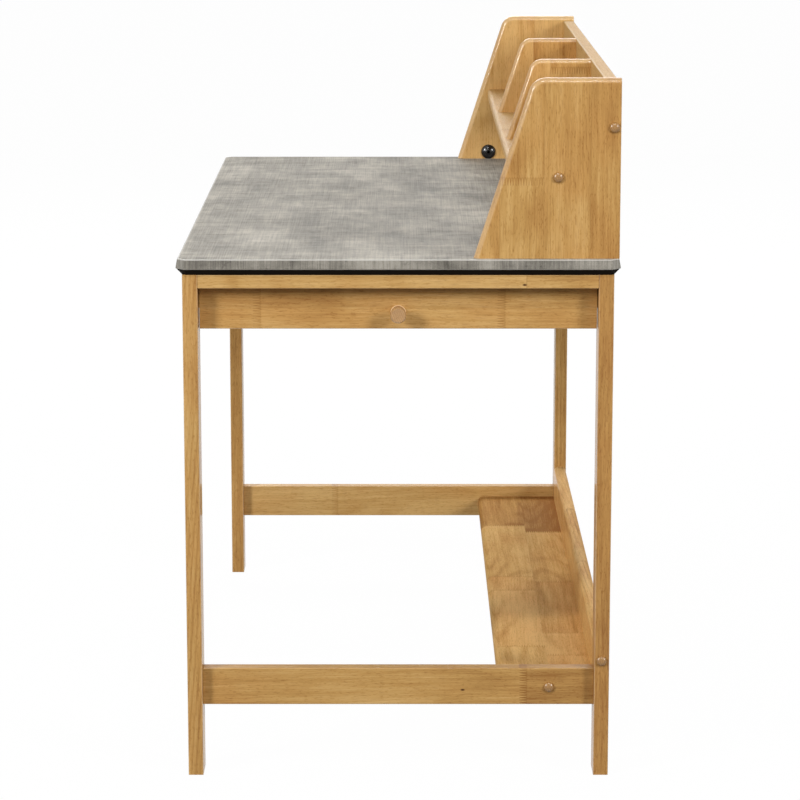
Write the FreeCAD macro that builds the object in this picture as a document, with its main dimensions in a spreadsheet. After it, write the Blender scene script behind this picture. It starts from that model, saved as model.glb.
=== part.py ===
import FreeCAD, Part
import Sketcher
import os
from types import SimpleNamespace

# Driving sizes of the desk, in millimetres
SIZES = {
    # Whole desk
    "desk_length": 1219,
    "desk_depth": 610,
    "worktop_height": 736,
    # Worktop: a core board, a laminate sheet on it and an edge band that leans out
    "worktop_thickness": 22,
    "worktop_overhang": 9,
    "laminate_thickness": 1,
    "band_height": 14,
    "band_thickness": 2,
    "band_lean": 2.5,
    "band_top_round": 1.2,
    "band_low_round": 1.8,
    "corner_clip": 12,
    # Legs
    "leg_width": 21,
    "leg_depth": 48,
    "edge_ease": 1.2,
    # Rails and aprons under the worktop
    "top_rail_height": 19,
    "rail_thickness": 20,
    "apron_height": 78.5,
    "apron_thickness": 20,
    "end_panel_inset": 22,
    "end_panel_thickness": 18,
    "brace_height": 60,
    # Lower rails, shelf and fence
    "lower_rail_height": 53,
    "lower_rail_lift": 100,
    "lower_rail_inset": 12,
    "shelf_thickness": 18,
    "shelf_depth": 133.5,
    "shelf_drop": 18.5,
    "shelf_front_round": 9,
    "fence_height": 76.5,
    "fence_thickness": 20,
    "fence_round": 8,
    "shelf_bolt_setback": 63,
    "fence_bolt_lift": 50.5,
    # Hutch
    "hutch_inset": 12.5,
    "hutch_back_inset": 2,
    "hutch_height": 246.5,
    "hutch_foot_depth": 199.6,
    "hutch_top_depth": 119.8,
    "hutch_side_thickness": 18,
    "hutch_corner_round": 24,
    "hutch_edge_round": 8,
    "hutch_shelf_lift": 120.7,
    "hutch_shelf_thickness": 18,
    "hutch_shelf_setback": 12,
    "hutch_shelf_round": 5,
    "hutch_back_thickness": 18,
    "hutch_back_round": 2,
    "hutch_top_drop": 8,
    "hutch_shelf_bolt_setback": 85,
    "divider_thickness": 16,
    "divider_setback": 18,
    "divider_corner_round": 20,
    "divider_edge_round": 7,
    # Drawer
    "drawer_gap": 1,
    "drawer_length": 380,
    "drawer_side_height": 48,
    "drawer_side_lift": 6,
    "drawer_side_thickness": 12,
    "drawer_side_gap": 12.5,
    "drawer_bottom_thickness": 4,
    "drawer_bottom_lift": 6,
    "drawer_groove_depth": 5,
    "runner_height": 12,
    "runner_bite": 5,
    "runner_overrun": 20,
    "runner_stop": 8,
    "slide_gap": 0.3,
    # Knob
    "knob_radius": 11.2,
    "knob_foot_radius": 10.8,
    "knob_foot_length": 3,
    "knob_neck_radius": 7.5,
    "knob_neck_length": 7,
    "knob_head_length": 15,
    "knob_round": 3,
    "knob_lift": 22.5,
    # Dowels
    "dowel_radius": 4,
    "dowel_bite": 12,
    "dowel_reach": 24,
    "small_dowel_radius": 2.5,
    "small_dowel_bite": 8,
    "small_dowel_reach": 16,
    # Connector bolts, barrel nuts and button plugs
    "bolt_radius": 3,
    "bolt_head_radius": 5,
    "bolt_head_height": 4,
    "bolt_sink": 10,
    "bolt_reach": 40,
    "nut_radius": 5,
    "nut_length": 14,
    "nut_setback": 30,
    "plug_radius": 7.4,
    "plug_height": 5,
    # Cam fittings in the long aprons
    "cam_radius": 7.5,
    "cam_depth": 12.5,
    "cam_setback": 24,
    "cam_bolt_radius": 3.5,
    "cam_bolt_bite": 11,
    # Angle brackets and screws
    "bracket_width": 18,
    "bracket_leg": 20,
    "bracket_thickness": 2,
    "screw_radius": 1.9,
    "screw_head_radius": 3.8,
    "screw_head_height": 2,
    "screw_bite": 12,
    # Hutch connectors and their studs
    "connector_radius": 12.4,
    "connector_lift": 12,
    "connector_depth": 12,
    "connector_dome": 7,
    "connector_front_setback": 53,
    "connector_back_setback": 40,
    "stud_radius": 2.5,
    "stud_bite": 12,
    # Clearances
    "fit_gap": 0.15,
    "bore_spare": 0.5,
    "cut_overrun": 5,
}

# Where repeated fasteners stand, as shares of the piece that carries them
APRON_PAIR_SHARES = (0.25, 0.75)
RAIL_PAIR_SHARES = (0.25, 0.75)
FENCE_DOWEL_SHARES = (-0.38, -0.13, 0.13, 0.38)
SHELF_DOWEL_SHARES = (-0.3, 0.3)
BACK_DOWEL_SHARES = (-0.3, 0.3)
BACK_FOOT_SHARES = (-0.4, -0.08, 0.08, 0.4)
DIVIDER_FOOT_SHARES = (0.3, 0.8)
BRACKET_SHARES = (-0.4, -0.14, 0.14, 0.4)
BRACKET_HOLE_SHARE = 0.6
RUNNER_SCREW_SHARES = (0.12, 0.5, 0.88)
DRAWER_DOWEL_SHARES = (0.3, 0.83)
RUNNER_HEIGHT_SHARE = 0.52
FENCE_DOWEL_LIFT_SHARE = 0.24
DIVIDER_BACK_SHARE = 0.55

# How far a round-over may eat into the board that carries it
ROUND_LIMIT_SHARE = 0.45

# Two lengths or directions count as equal within this
NEAR = 1e-6

doc = FreeCAD.newDocument("writing_desk")
sheet = doc.addObject("Spreadsheet::Sheet", "Sizes")
for row, (alias, value) in enumerate(SIZES.items(), start=1):
    sheet.set(f"A{row}", alias)
    sheet.set(f"B{row}", str(value))
    sheet.setAlias(f"B{row}", alias)
doc.recompute()


class Formula:
    """A length worked out from the sheet's cells, so that ordinary sums bind a property to them."""

    def __init__(self, text):
        self.text = str(text)

    def __str__(self):
        return self.text

    def __add__(self, other):
        return Formula(f"({self} + {other})")

    def __radd__(self, other):
        return Formula(f"({other} + {self})")

    def __sub__(self, other):
        return Formula(f"({self} - {other})")

    def __rsub__(self, other):
        return Formula(f"({other} - {self})")

    def __mul__(self, other):
        return Formula(f"({self} * {other})")

    __rmul__ = __mul__

    def __truediv__(self, other):
        return Formula(f"({self} / {other})")

    def __neg__(self):
        return Formula(f"(0 - {self})")

    def amount(self):
        """The formula's present value as a plain number."""
        return float(sheet.evalExpression(self.text))


def lesser(first, second):
    """The smaller of two lengths."""
    return Formula(f"min({first}; {second})")


size = SimpleNamespace(**{alias: Formula(f"Sizes.{alias}") for alias in SIZES})
zero = Formula("0")

# The finished pieces, and every cut that has to take something away
pieces = []
cuts = []

# Faces of a board: the origin plane that a sketch on it uses, the two in-plane axes, the normal's axis,
# whether the face is the far one along that axis, and whether a pocket from it has to be reversed
FACES = {
    "-X": ("YZ_Plane", 1, 2, 0, False, True),
    "+X": ("YZ_Plane", 1, 2, 0, True, False),
    "-Y": ("XZ_Plane", 0, 2, 1, False, False),
    "+Y": ("XZ_Plane", 0, 2, 1, True, True),
    "-Z": ("XY_Plane", 0, 1, 2, False, True),
    "+Z": ("XY_Plane", 0, 1, 2, True, False),
}


def face_towards(axis, sign):
    """The face's name on the side of an axis that the sign points to."""
    return ("+" if sign > 0 else "-") + "XYZ"[axis]


def moved(point, axis, distance):
    """A copy of the point, moved along one axis."""
    shifted = list(point)
    shifted[axis] = shifted[axis] + distance
    return tuple(shifted)


def bind_place(thing, place):
    """Ties an object's base point to three formulas."""
    for letter, length in zip("xyz", place):
        thing.setExpression(f"Placement.Base.{letter}", str(length))


def new_sketch(body, name, role, offset=zero):
    """A sketch on one of the body's own origin planes, moved along the plane's normal."""
    plane = next(feature for feature in body.Origin.OriginFeatures if feature.Role == role)
    sketch = body.newObject("Sketcher::SketchObject", name)
    sketch.AttachmentSupport = [(plane, "")]
    sketch.MapMode = "FlatFace"
    sketch.setExpression("AttachmentOffset.Base.z", str(offset))
    return sketch


def hold(sketch, kind, references, length):
    """Adds a dimension to the sketch and binds it to a formula."""
    index = sketch.addConstraint(Sketcher.Constraint(kind, *references, length.amount()))
    sketch.setExpression(f"Constraints[{index}]", str(length))


def polygon(sketch, corners):
    """A closed outline through corners, each held by its two distances from the sketch's origin."""
    spots = [FreeCAD.Vector(across.amount(), up.amount(), 0) for across, up in corners]
    lines = [Part.LineSegment(spot, spots[(i + 1) % len(spots)]) for i, spot in enumerate(spots)]
    sketch.addGeometry(lines, False)
    for i, (across, up) in enumerate(corners):
        sketch.addConstraint(Sketcher.Constraint("Coincident", i, 2, (i + 1) % len(lines), 1))
        hold(sketch, "DistanceX", (-1, 1, i, 1), across)
        hold(sketch, "DistanceY", (-1, 1, i, 1), up)


def rectangle(sketch, low, high):
    """A rectangle between two corners."""
    polygon(sketch, [low, (high[0], low[1]), high, (low[0], high[1])])


def circles(sketch, spots, radius):
    """Equal circles on their centres."""
    for across, up in spots:
        centre = FreeCAD.Vector(across.amount(), up.amount(), 0)
        index = sketch.addGeometry(Part.Circle(centre, FreeCAD.Vector(0, 0, 1), radius.amount()), False)
        hold(sketch, "DistanceX", (-1, 1, index, 3), across)
        hold(sketch, "DistanceY", (-1, 1, index, 3), up)
        hold(sketch, "Radius", (index,), radius)


def round_edges(body, name, base, radius, wanted):
    """Rounds the edges of the base feature that the test picks, by their middle and direction."""
    doc.recompute()
    names = []
    for i, edge in enumerate(base.Shape.Edges, start=1):
        middle = edge.valueAt((edge.FirstParameter + edge.LastParameter) / 2)
        direction = edge.tangentAt((edge.FirstParameter + edge.LastParameter) / 2)
        if wanted(middle, direction):
            names.append(f"Edge{i}")
    if not names:
        raise RuntimeError(f"{name} finds no edge to round")
    fillet = body.newObject("PartDesign::Fillet", name)
    fillet.Base = (base, names)
    fillet.setExpression("Radius", str(radius))
    return fillet


class Board:
    """A straight board between two corners of the desk, padded from its outline, with its holes."""

    def __init__(self, name, low, high, outline=None):
        """The outline is on the floor plane, or a list of (y, z) corners that is padded along X."""
        self.name = name
        self.low = low
        self.span = tuple(far - near for near, far in zip(low, high))
        self.body = doc.addObject("PartDesign::Body", name)
        self.body.Label = name
        bind_place(self.body, low)
        sketch = new_sketch(self.body, name + "_outline", "YZ_Plane" if outline else "XY_Plane")
        if outline:
            polygon(sketch, [(y - low[1], z - low[2]) for y, z in outline])
        else:
            rectangle(sketch, (zero, zero), self.span[:2])
        self.solid = self.body.newObject("PartDesign::Pad", name + "_board")
        self.solid.Profile = sketch
        self.solid.setExpression("Length", str(self.span[0] if outline else self.span[2]))
        self.bores = {}
        pieces.append(self.body)

    def middle(self, axis):
        """Halfway along one axis, in the desk's frame."""
        return self.low[axis] + self.span[axis] / 2

    def ease(self, axis, radius, name="ease", keep=None):
        """Rounds the long edges along one axis, or those of them that the test keeps."""

        def wanted(middle, direction):
            along = abs(abs(direction[axis]) - 1) < NEAR
            return along and (keep is None or keep(middle))

        self.solid = round_edges(self.body, f"{self.name}_{name}", self.solid, radius, wanted)

    def bore(self, face, spot, radius, depth):
        """Notes a round hole from one face; holes alike in size share one pocket."""
        self.bores.setdefault((face, str(radius), str(depth)), []).append((spot, radius, depth))

    def pocket(self, name, face, depth, draw):
        """Cuts a pocket from one face with the outline that draw makes in the board's own frame."""
        role, _, _, axis, far, reverse = FACES[face]
        offset = self.span[axis] if far else zero
        if axis == 1:
            offset = -offset
        sketch = new_sketch(self.body, f"{self.name}_{name}_outline", role, offset)
        draw(sketch)
        cut = self.body.newObject("PartDesign::Pocket", f"{self.name}_{name}")
        cut.Profile = sketch
        cut.Reversed = reverse
        cut.setExpression("Length", str(depth))
        self.solid = cut
        cuts.append(cut)

    def flat_spot(self, face, point):
        """A point of the desk in the face's own two axes."""
        _, across, up, *_ = FACES[face]
        return point[across] - self.low[across], point[up] - self.low[up]

    def groove(self, name, face, low, high, depth):
        """Cuts a rectangular groove between two points of the face."""
        corners = self.flat_spot(face, low), self.flat_spot(face, high)
        self.pocket(name, face, depth, lambda sketch: rectangle(sketch, *corners))

    def cut_bores(self):
        """Turns the noted holes into pockets."""
        for number, ((face, _, _), holes) in enumerate(self.bores.items(), start=1):
            spots = [self.flat_spot(face, spot) for spot, _, _ in holes]
            _, radius, depth = holes[0]
            self.pocket(f"bore_{number}", face, depth, lambda sketch: circles(sketch, spots, radius))


def rod(name, start, axis, sign, radius, length):
    """A round bar from a point along one axis of the desk."""
    bar = doc.addObject("Part::Cylinder", name)
    direction = [0, 0, 0]
    direction[axis] = sign
    bar.Placement.Rotation = FreeCAD.Rotation(FreeCAD.Vector(0, 0, 1), FreeCAD.Vector(*direction))
    bar.setExpression("Radius", str(radius))
    bar.setExpression("Height", str(length))
    bind_place(bar, start)
    return bar


def dome(name, start, axis, sign, radius, height):
    """A low dome that stands on a point along one axis of the desk."""
    cap = doc.addObject("Part::Ellipsoid", name)
    direction = [0, 0, 0]
    direction[axis] = sign
    cap.Placement.Rotation = FreeCAD.Rotation(FreeCAD.Vector(0, 0, 1), FreeCAD.Vector(*direction))
    cap.Angle1 = 0
    cap.Angle2 = 90
    cap.setExpression("Radius1", str(height))
    cap.setExpression("Radius2", str(radius))
    bind_place(cap, start)
    return cap


def block(name, low, high):
    """A square block between two corners of the desk."""
    box = doc.addObject("Part::Box", name)
    for prop, near, far in zip(("Length", "Width", "Height"), low, high):
        box.setExpression(prop, str(far - near))
    bind_place(box, low)
    return box


def fused(name, *parts):
    """One solid of several that touch."""
    whole = doc.addObject("Part::MultiFuse", name)
    whole.Shapes = list(parts)
    return whole


def cut_from(name, base, *tools):
    """The base with the tools cut out of it."""
    for number, tool in enumerate(tools):
        cut = doc.addObject("Part::Cut", f"{name}_{number}")
        cut.Base = base
        cut.Tool = tool
        base = cut
    return base


def screw_at(name, seat, axis, sign, length):
    """A pan-head screw whose head sits on the seat, with its shank along the axis."""
    head = rod(name + "_head", seat, axis, -sign, size.screw_head_radius, size.screw_head_height)
    return fused(name, head, rod(name + "_shank", seat, axis, sign, size.screw_radius, length))


class Group:
    """Like fasteners that share one node, each a solid of its own."""

    def __init__(self, name):
        self.name = name
        self.members = []

    def next_name(self):
        """A name for the next member."""
        return f"{self.name}_{len(self.members) + 1}"

    def add(self, member):
        """Takes one finished solid."""
        self.members.append(member)

    def gather(self):
        """Makes the node."""
        node = doc.addObject("Part::Compound", self.name)
        node.Label = self.name
        node.Links = self.members
        pieces.append(node)


frame_dowels = Group("frame_dowels")
hutch_dowels = Group("hutch_dowels")
drawer_dowels = Group("drawer_dowels")
rail_bolts = Group("rail_bolts")
leg_bolts = Group("leg_bolts")
hutch_bolts = Group("hutch_bolts")
frame_barrel_nuts = Group("frame_barrel_nuts")
hutch_barrel_nuts = Group("hutch_barrel_nuts")
frame_button_plugs = Group("frame_button_plugs")
hutch_button_plugs = Group("hutch_button_plugs")
apron_cams = Group("apron_cams")
apron_cam_bolts = Group("apron_cam_bolts")
worktop_brackets = Group("worktop_brackets")
bracket_screws = Group("bracket_screws")
runner_screws = Group("runner_screws")
hutch_connectors = Group("hutch_connectors")
connector_studs = Group("connector_studs")

DOWEL = (size.dowel_radius, size.dowel_bite, size.dowel_reach)
SMALL_DOWEL = (size.small_dowel_radius, size.small_dowel_bite, size.small_dowel_reach)


def dowel(group, side_board, end_board, spot, axis, sign, stock=DOWEL):
    """Joins the face of one board to the end of another, which lies along the axis from the spot."""
    radius, bite, reach = stock
    hole = radius + size.fit_gap
    side_board.bore(face_towards(axis, sign), spot, hole, bite + size.bore_spare)
    end_board.bore(face_towards(axis, -sign), spot, hole, reach + size.bore_spare)
    start = moved(spot, axis, bite * -sign)
    group.add(rod(group.next_name(), start, axis, sign, radius, bite + reach))


def bolt_joint(bolts, nuts, plugs, side_board, end_board, spot, sign, nut_axis):
    """Bolts a board's end to the inner face of the board outside it, along X.

    The spot lies on the joint, and the sign is the side of the desk. The head is sunk under a domed
    button plug, and the shank ends in a barrel nut set in the end board from its lower or back face.
    """
    thickness = side_board.span[0]
    outer = face_towards(0, sign)
    shaft = size.bolt_radius + size.fit_gap
    side_board.bore(outer, spot, shaft, thickness)
    side_board.bore(outer, spot, size.bolt_head_radius + size.fit_gap, size.bolt_sink)
    end_board.bore(outer, spot, shaft, size.bolt_reach + size.bore_spare)
    nut_face = "-Z" if nut_axis == 2 else "+Y"
    nut_spot = moved(spot, 0, size.nut_setback * -sign)
    nut_bore = end_board.span[nut_axis] / 2 + size.nut_length / 2
    end_board.bore(nut_face, nut_spot, size.nut_radius + size.fit_gap, nut_bore)

    outside = moved(spot, 0, thickness * sign)
    seat = moved(outside, 0, size.bolt_sink * -sign)
    name = bolts.next_name()
    head = rod(name + "_head", seat, 0, sign, size.bolt_head_radius, size.bolt_head_height)
    shank_length = thickness - size.bolt_sink + size.bolt_reach
    shank = rod(name + "_shank", seat, 0, -sign, size.bolt_radius, shank_length)
    bolts.add(fused(name, head, shank))

    name = nuts.next_name()
    nut_start = moved(nut_spot, nut_axis, -size.nut_length / 2)
    nut = rod(name + "_bar", nut_start, nut_axis, 1, size.nut_radius, size.nut_length)
    thread_start = moved(nut_spot, 0, size.nut_radius * 2)
    thread = rod(name + "_thread", thread_start, 0, -1, shaft, size.nut_radius * 4)
    nuts.add(cut_from(name, nut, thread))

    name = plugs.next_name()
    stem_length = size.bolt_sink - size.bolt_head_height - size.bore_spare
    stem = rod(name + "_stem", outside, 0, -sign, size.bolt_head_radius, stem_length)
    cap = dome(name + "_dome", outside, 0, sign, size.plug_radius, size.plug_height)
    plugs.add(fused(name, stem, cap))


# Shared levels and lines of the desk
worktop_low = size.worktop_height - size.worktop_thickness
band_low = size.worktop_height - size.band_height
laminate_low = size.worktop_height - size.laminate_thickness
leg_outer_x = size.desk_length / 2 - size.worktop_overhang
leg_inner_x = leg_outer_x - size.leg_depth
leg_outer_y = size.desk_depth / 2 - size.worktop_overhang
leg_inner_y = leg_outer_y - size.leg_width
top_rail_low = worktop_low - size.top_rail_height
apron_low = worktop_low - size.apron_height
apron_inner_y = leg_outer_y - size.apron_thickness
end_panel_outer_x = leg_outer_x - size.end_panel_inset
end_panel_inner_x = end_panel_outer_x - size.end_panel_thickness
lower_rail_outer_x = leg_outer_x - size.lower_rail_inset
lower_rail_inner_x = lower_rail_outer_x - size.rail_thickness
lower_rail_top = size.lower_rail_lift + size.lower_rail_height
shelf_top = lower_rail_top - size.shelf_drop
shelf_low = shelf_top - size.shelf_thickness
hutch_outer_x = size.desk_length / 2 - size.hutch_inset
hutch_inner_x = hutch_outer_x - size.hutch_side_thickness
hutch_back_y = size.desk_depth / 2 - size.hutch_back_inset
hutch_foot_y = hutch_back_y - size.hutch_foot_depth
hutch_top = size.worktop_height + size.hutch_height
hutch_slope = (size.hutch_foot_depth - size.hutch_top_depth) / size.hutch_height
hutch_shelf_top = size.worktop_height + size.hutch_shelf_lift
hutch_shelf_low = hutch_shelf_top - size.hutch_shelf_thickness
hutch_board_y = hutch_back_y - size.hutch_back_thickness
hutch_board_top = hutch_top - size.hutch_top_drop
SIDES = {"right": 1, "left": -1}
ENDS = {"front": -1, "back": 1}


def between(near, far, sign):
    """Two lengths along an axis in rising order, on the side that the sign points to."""
    return (near, far) if sign > 0 else (-far, -near)


# Worktop
def clipped_outline(body, name, level, inset):
    """The worktop's outline with its four clipped corners, pulled in evenly by the inset."""
    sketch = new_sketch(body, name, "XY_Plane", level - worktop_low)
    length = size.desk_length / 2 - inset
    depth = size.desk_depth / 2 - inset
    clip = size.corner_clip - inset * Formula("(2 - sqrt(2))")
    corners = []
    for turn, (across, up) in enumerate(((1, 1), (-1, 1), (-1, -1), (1, -1))):
        near_side = (length * across, (depth - clip) * up)
        near_end = ((length - clip) * across, depth * up)
        corners += [near_side, near_end] if turn % 2 == 0 else [near_end, near_side]
    polygon(sketch, corners)
    return sketch


class Slab(Board):
    """A flat piece of the worktop, padded from its clipped outline, that takes holes as a board does."""

    def __init__(self, name, low, high, inset):
        self.name = name
        self.low = (zero, zero, worktop_low)
        self.span = (zero, zero, high - worktop_low)
        self.bores = {}
        self.body = doc.addObject("PartDesign::Body", name)
        self.body.Label = name
        bind_place(self.body, self.low)
        self.pad("slab", low, high, inset)
        pieces.append(self.body)

    def pad(self, name, low, high, inset):
        """Adds a straight-sided layer."""
        label = f"{self.name}_{name}"
        outline = clipped_outline(self.body, label + "_outline", low, inset)
        self.solid = self.body.newObject("PartDesign::Pad", label)
        self.solid.Profile = outline
        self.solid.setExpression("Length", str(high - low))


band_root = size.band_lean + size.band_thickness
core = Slab("worktop_core", band_low, laminate_low, band_root)
bevel = core.body.newObject("PartDesign::AdditiveLoft", "worktop_core_bevel")
bevel.Profile = clipped_outline(core.body, "worktop_core_foot", worktop_low, size.worktop_overhang)
bevel.Sections = [clipped_outline(core.body, "worktop_core_ledge", band_low, size.band_low_round)]
bevel.Ruled = True
laminate = Slab("worktop_laminate", laminate_low, size.worktop_height, band_root)

# Edge band: it leans out towards its lower edge, and both of its outer edges are rounded
band = Slab("worktop_edge_band", band_low, size.worktop_height, zero)
doc.recompute()
flanks = []
for i, face in enumerate(band.solid.Shape.Faces, start=1):
    if abs(face.normalAt(0, 0).z) < NEAR:
        flanks.append(f"Face{i}")
    elif face.normalAt(0, 0).z < 0:
        band_foot = f"Face{i}"
lean = band.body.newObject("PartDesign::Draft", "worktop_edge_band_lean")
lean.Base = (band.solid, flanks)
lean.NeutralPlane = (band.solid, [band_foot])
lean.setExpression("Angle", f"atan({size.band_lean / size.band_height})")
band.solid = lean
for name, level, radius in (
    ("low_round", band_low, size.band_low_round),
    ("top_round", size.worktop_height, size.band_top_round),
):
    height = (level - worktop_low).amount()
    band.solid = round_edges(
        band.body,
        f"worktop_edge_band_{name}",
        band.solid,
        radius,
        lambda middle, direction: abs(middle.z - height) < NEAR,
    )
doc.recompute()
inner = clipped_outline(band.body, "worktop_edge_band_inner_outline", size.worktop_height, band_root)
ring = band.body.newObject("PartDesign::Pocket", "worktop_edge_band_ring")
ring.Profile = inner
ring.Type = "ThroughAll"
cuts.append(ring)

# Legs
legs = {}
for side, sx in SIDES.items():
    for end, sy in ENDS.items():
        x = between(leg_inner_x, leg_outer_x, sx)
        y = between(leg_inner_y, leg_outer_y, sy)
        leg = Board(f"leg_{end}_{side}", (x[0], y[0], zero), (x[1], y[1], worktop_low))
        leg.ease(2, size.edge_ease)
        legs[side, end] = leg

# Upper end rails, flush with the legs' outer faces
for side, sx in SIDES.items():
    x = between(leg_outer_x - size.rail_thickness, leg_outer_x, sx)
    rail = Board(f"upper_rail_{side}", (x[0], -leg_inner_y, top_rail_low), (x[1], leg_inner_y, worktop_low))
    rail.ease(1, size.edge_ease)
    for end, sy in ENDS.items():
        spot = (rail.middle(0), leg_inner_y * sy, rail.middle(2))
        dowel(frame_dowels, legs[side, end], rail, spot, 1, -sy)
    rail.cut_bores()

# Fixed apron behind the upper rail at the far end
end_apron = Board(
    "end_apron_left",
    (-end_panel_outer_x, -leg_inner_y, apron_low),
    (-end_panel_inner_x, leg_inner_y, worktop_low),
)
end_apron.ease(1, size.edge_ease)
for end, sy in ENDS.items():
    for share in APRON_PAIR_SHARES:
        spot = (end_apron.middle(0), leg_inner_y * sy, apron_low + size.apron_height * share)
        dowel(frame_dowels, legs["left", end], end_apron, spot, 1, -sy)
end_apron.cut_bores()

# Long aprons between the legs, with their cam fittings
aprons = {}
for end, sy in ENDS.items():
    y = between(apron_inner_y, leg_outer_y, sy)
    apron = Board(f"long_apron_{end}", (-leg_inner_x, y[0], apron_low), (leg_inner_x, y[1], worktop_low))
    apron.ease(0, size.edge_ease)
    aprons[end] = apron
    for side, sx in SIDES.items():
        for share in APRON_PAIR_SHARES:
            spot = (leg_inner_x * sx, apron.middle(1), apron_low + size.apron_height * share)
            hole = size.cam_bolt_radius + size.fit_gap
            reach = size.cam_setback - size.cam_radius
            legs[side, end].bore(face_towards(0, -sx), spot, hole, size.cam_bolt_bite + size.bore_spare)
            apron.bore(face_towards(0, sx), spot, hole, size.cam_setback)
            start = moved(spot, 0, size.cam_bolt_bite * sx)
            length = size.cam_bolt_bite + reach - size.fit_gap
            name = apron_cam_bolts.next_name()
            apron_cam_bolts.add(rod(name, start, 0, -sx, size.cam_bolt_radius, length))
            cam_face = face_towards(1, -sy)
            cam_spot = (spot[0] - size.cam_setback * sx, apron_inner_y * sy, spot[2])
            apron.bore(cam_face, cam_spot, size.cam_radius + size.fit_gap, size.cam_depth + size.fit_gap)
            apron_cams.add(rod(apron_cams.next_name(), cam_spot, 1, sy, size.cam_radius, size.cam_depth))

# Cross brace under the middle of the worktop
brace = Board(
    "cross_brace",
    (-size.rail_thickness / 2, -apron_inner_y, worktop_low - size.brace_height),
    (size.rail_thickness / 2, apron_inner_y, worktop_low),
)
brace.ease(1, size.edge_ease)
for end, sy in ENDS.items():
    for share in APRON_PAIR_SHARES:
        spot = (zero, apron_inner_y * sy, brace.low[2] + size.brace_height * share)
        dowel(frame_dowels, aprons[end], brace, spot, 1, -sy)
brace.cut_bores()

# Angle brackets that hold the worktop to the long aprons, and their screws
for end, sy in ENDS.items():
    for share in BRACKET_SHARES:
        name = worktop_brackets.next_name()
        middle = leg_inner_x * 2 * share
        low_x = middle - size.bracket_width / 2
        high_x = middle + size.bracket_width / 2
        y = between(apron_inner_y - size.bracket_leg, apron_inner_y, sy)
        flat = block(
            name + "_flat",
            (low_x, y[0], worktop_low - size.bracket_thickness),
            (high_x, y[1], worktop_low),
        )
        y = between(apron_inner_y - size.bracket_thickness, apron_inner_y, sy)
        upright = block(
            name + "_upright",
            (low_x, y[0], worktop_low - size.bracket_leg),
            (high_x, y[1], worktop_low),
        )
        reach = size.bracket_leg * BRACKET_HOLE_SHARE
        up_start = (middle, (apron_inner_y - reach) * sy, worktop_low - size.bracket_thickness)
        side_start = (middle, (apron_inner_y - size.bracket_thickness) * sy, worktop_low - reach)
        hole = size.screw_radius + size.fit_gap
        tools = []
        for label, start, axis, sign in (("up", up_start, 2, 1), ("side", side_start, 1, sy)):
            below = moved(start, axis, size.cut_overrun * -sign)
            through = size.bracket_thickness + size.cut_overrun * 2
            tools.append(rod(f"{name}_{label}_hole", below, axis, sign, hole, through))
            screw = bracket_screws.next_name()
            length = size.bracket_thickness + size.screw_bite
            bracket_screws.add(screw_at(screw, start, axis, sign, length))
        worktop_brackets.add(cut_from(name, fused(name + "_angle", flat, upright), *tools))
        core.bore("-Z", up_start, hole, size.screw_bite + size.bore_spare)
        aprons[end].bore(face_towards(1, -sy), side_start, hole, size.screw_bite + size.bore_spare)

# Lower rails, shelf and fence
shelf = Board(
    "lower_shelf",
    (-lower_rail_inner_x, leg_inner_y - size.shelf_depth, shelf_low),
    (lower_rail_inner_x, leg_inner_y, shelf_top),
)
shelf.ease(
    0,
    lesser(size.shelf_front_round, size.shelf_thickness * ROUND_LIMIT_SHARE * 2),
    "front_round",
    lambda middle: abs(middle.y) < NEAR and middle.z > NEAR,
)
fence = Board(
    "shelf_fence",
    (-leg_inner_x, leg_inner_y, shelf_low),
    (leg_inner_x, leg_inner_y + size.fence_thickness, shelf_low + size.fence_height),
)
fence.ease(
    0,
    lesser(size.fence_round, size.fence_thickness * ROUND_LIMIT_SHARE),
    "top_round",
    lambda middle: middle.z > NEAR,
)
for side, sx in SIDES.items():
    x = between(lower_rail_inner_x, lower_rail_outer_x, sx)
    rail = Board(
        f"lower_rail_{side}",
        (x[0], -leg_inner_y, size.lower_rail_lift),
        (x[1], leg_inner_y, lower_rail_top),
    )
    rail.ease(1, size.edge_ease)
    for end, sy in ENDS.items():
        for share in RAIL_PAIR_SHARES:
            level = size.lower_rail_lift + size.lower_rail_height * share
            dowel(frame_dowels, legs[side, end], rail, (rail.middle(0), leg_inner_y * sy, level), 1, -sy)
    shelf_spot = (lower_rail_inner_x * sx, leg_inner_y - size.shelf_bolt_setback, shelf.middle(2))
    bolt_joint(rail_bolts, frame_barrel_nuts, frame_button_plugs, rail, shelf, shelf_spot, sx, 2)
    for share in SHELF_DOWEL_SHARES:
        dowel(frame_dowels, rail, shelf, moved(shelf_spot, 1, size.shelf_depth * share), 0, -sx)
    rail.cut_bores()
    leg = legs[side, "back"]
    fence_spot = (leg_inner_x * sx, fence.middle(1), shelf_low + size.fence_bolt_lift)
    bolt_joint(leg_bolts, frame_barrel_nuts, frame_button_plugs, leg, fence, fence_spot, sx, 1)
    dowel_level = shelf_low + size.fence_height * FENCE_DOWEL_LIFT_SHARE
    dowel(frame_dowels, leg, fence, (fence_spot[0], fence_spot[1], dowel_level), 0, -sx)
for share in FENCE_DOWEL_SHARES:
    dowel(frame_dowels, fence, shelf, (leg_inner_x * 2 * share, leg_inner_y, shelf.middle(2)), 1, -1)
shelf.cut_bores()
fence.cut_bores()


# Hutch
def slant_outline(foot_y, foot_level, top_level, back_y):
    """The outline of an upright whose front edge leans back with the hutch's slope."""
    top_y = foot_y + hutch_slope * (top_level - foot_level)
    return [(back_y, foot_level), (foot_y, foot_level), (top_y, top_level), (back_y, top_level)]


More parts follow.
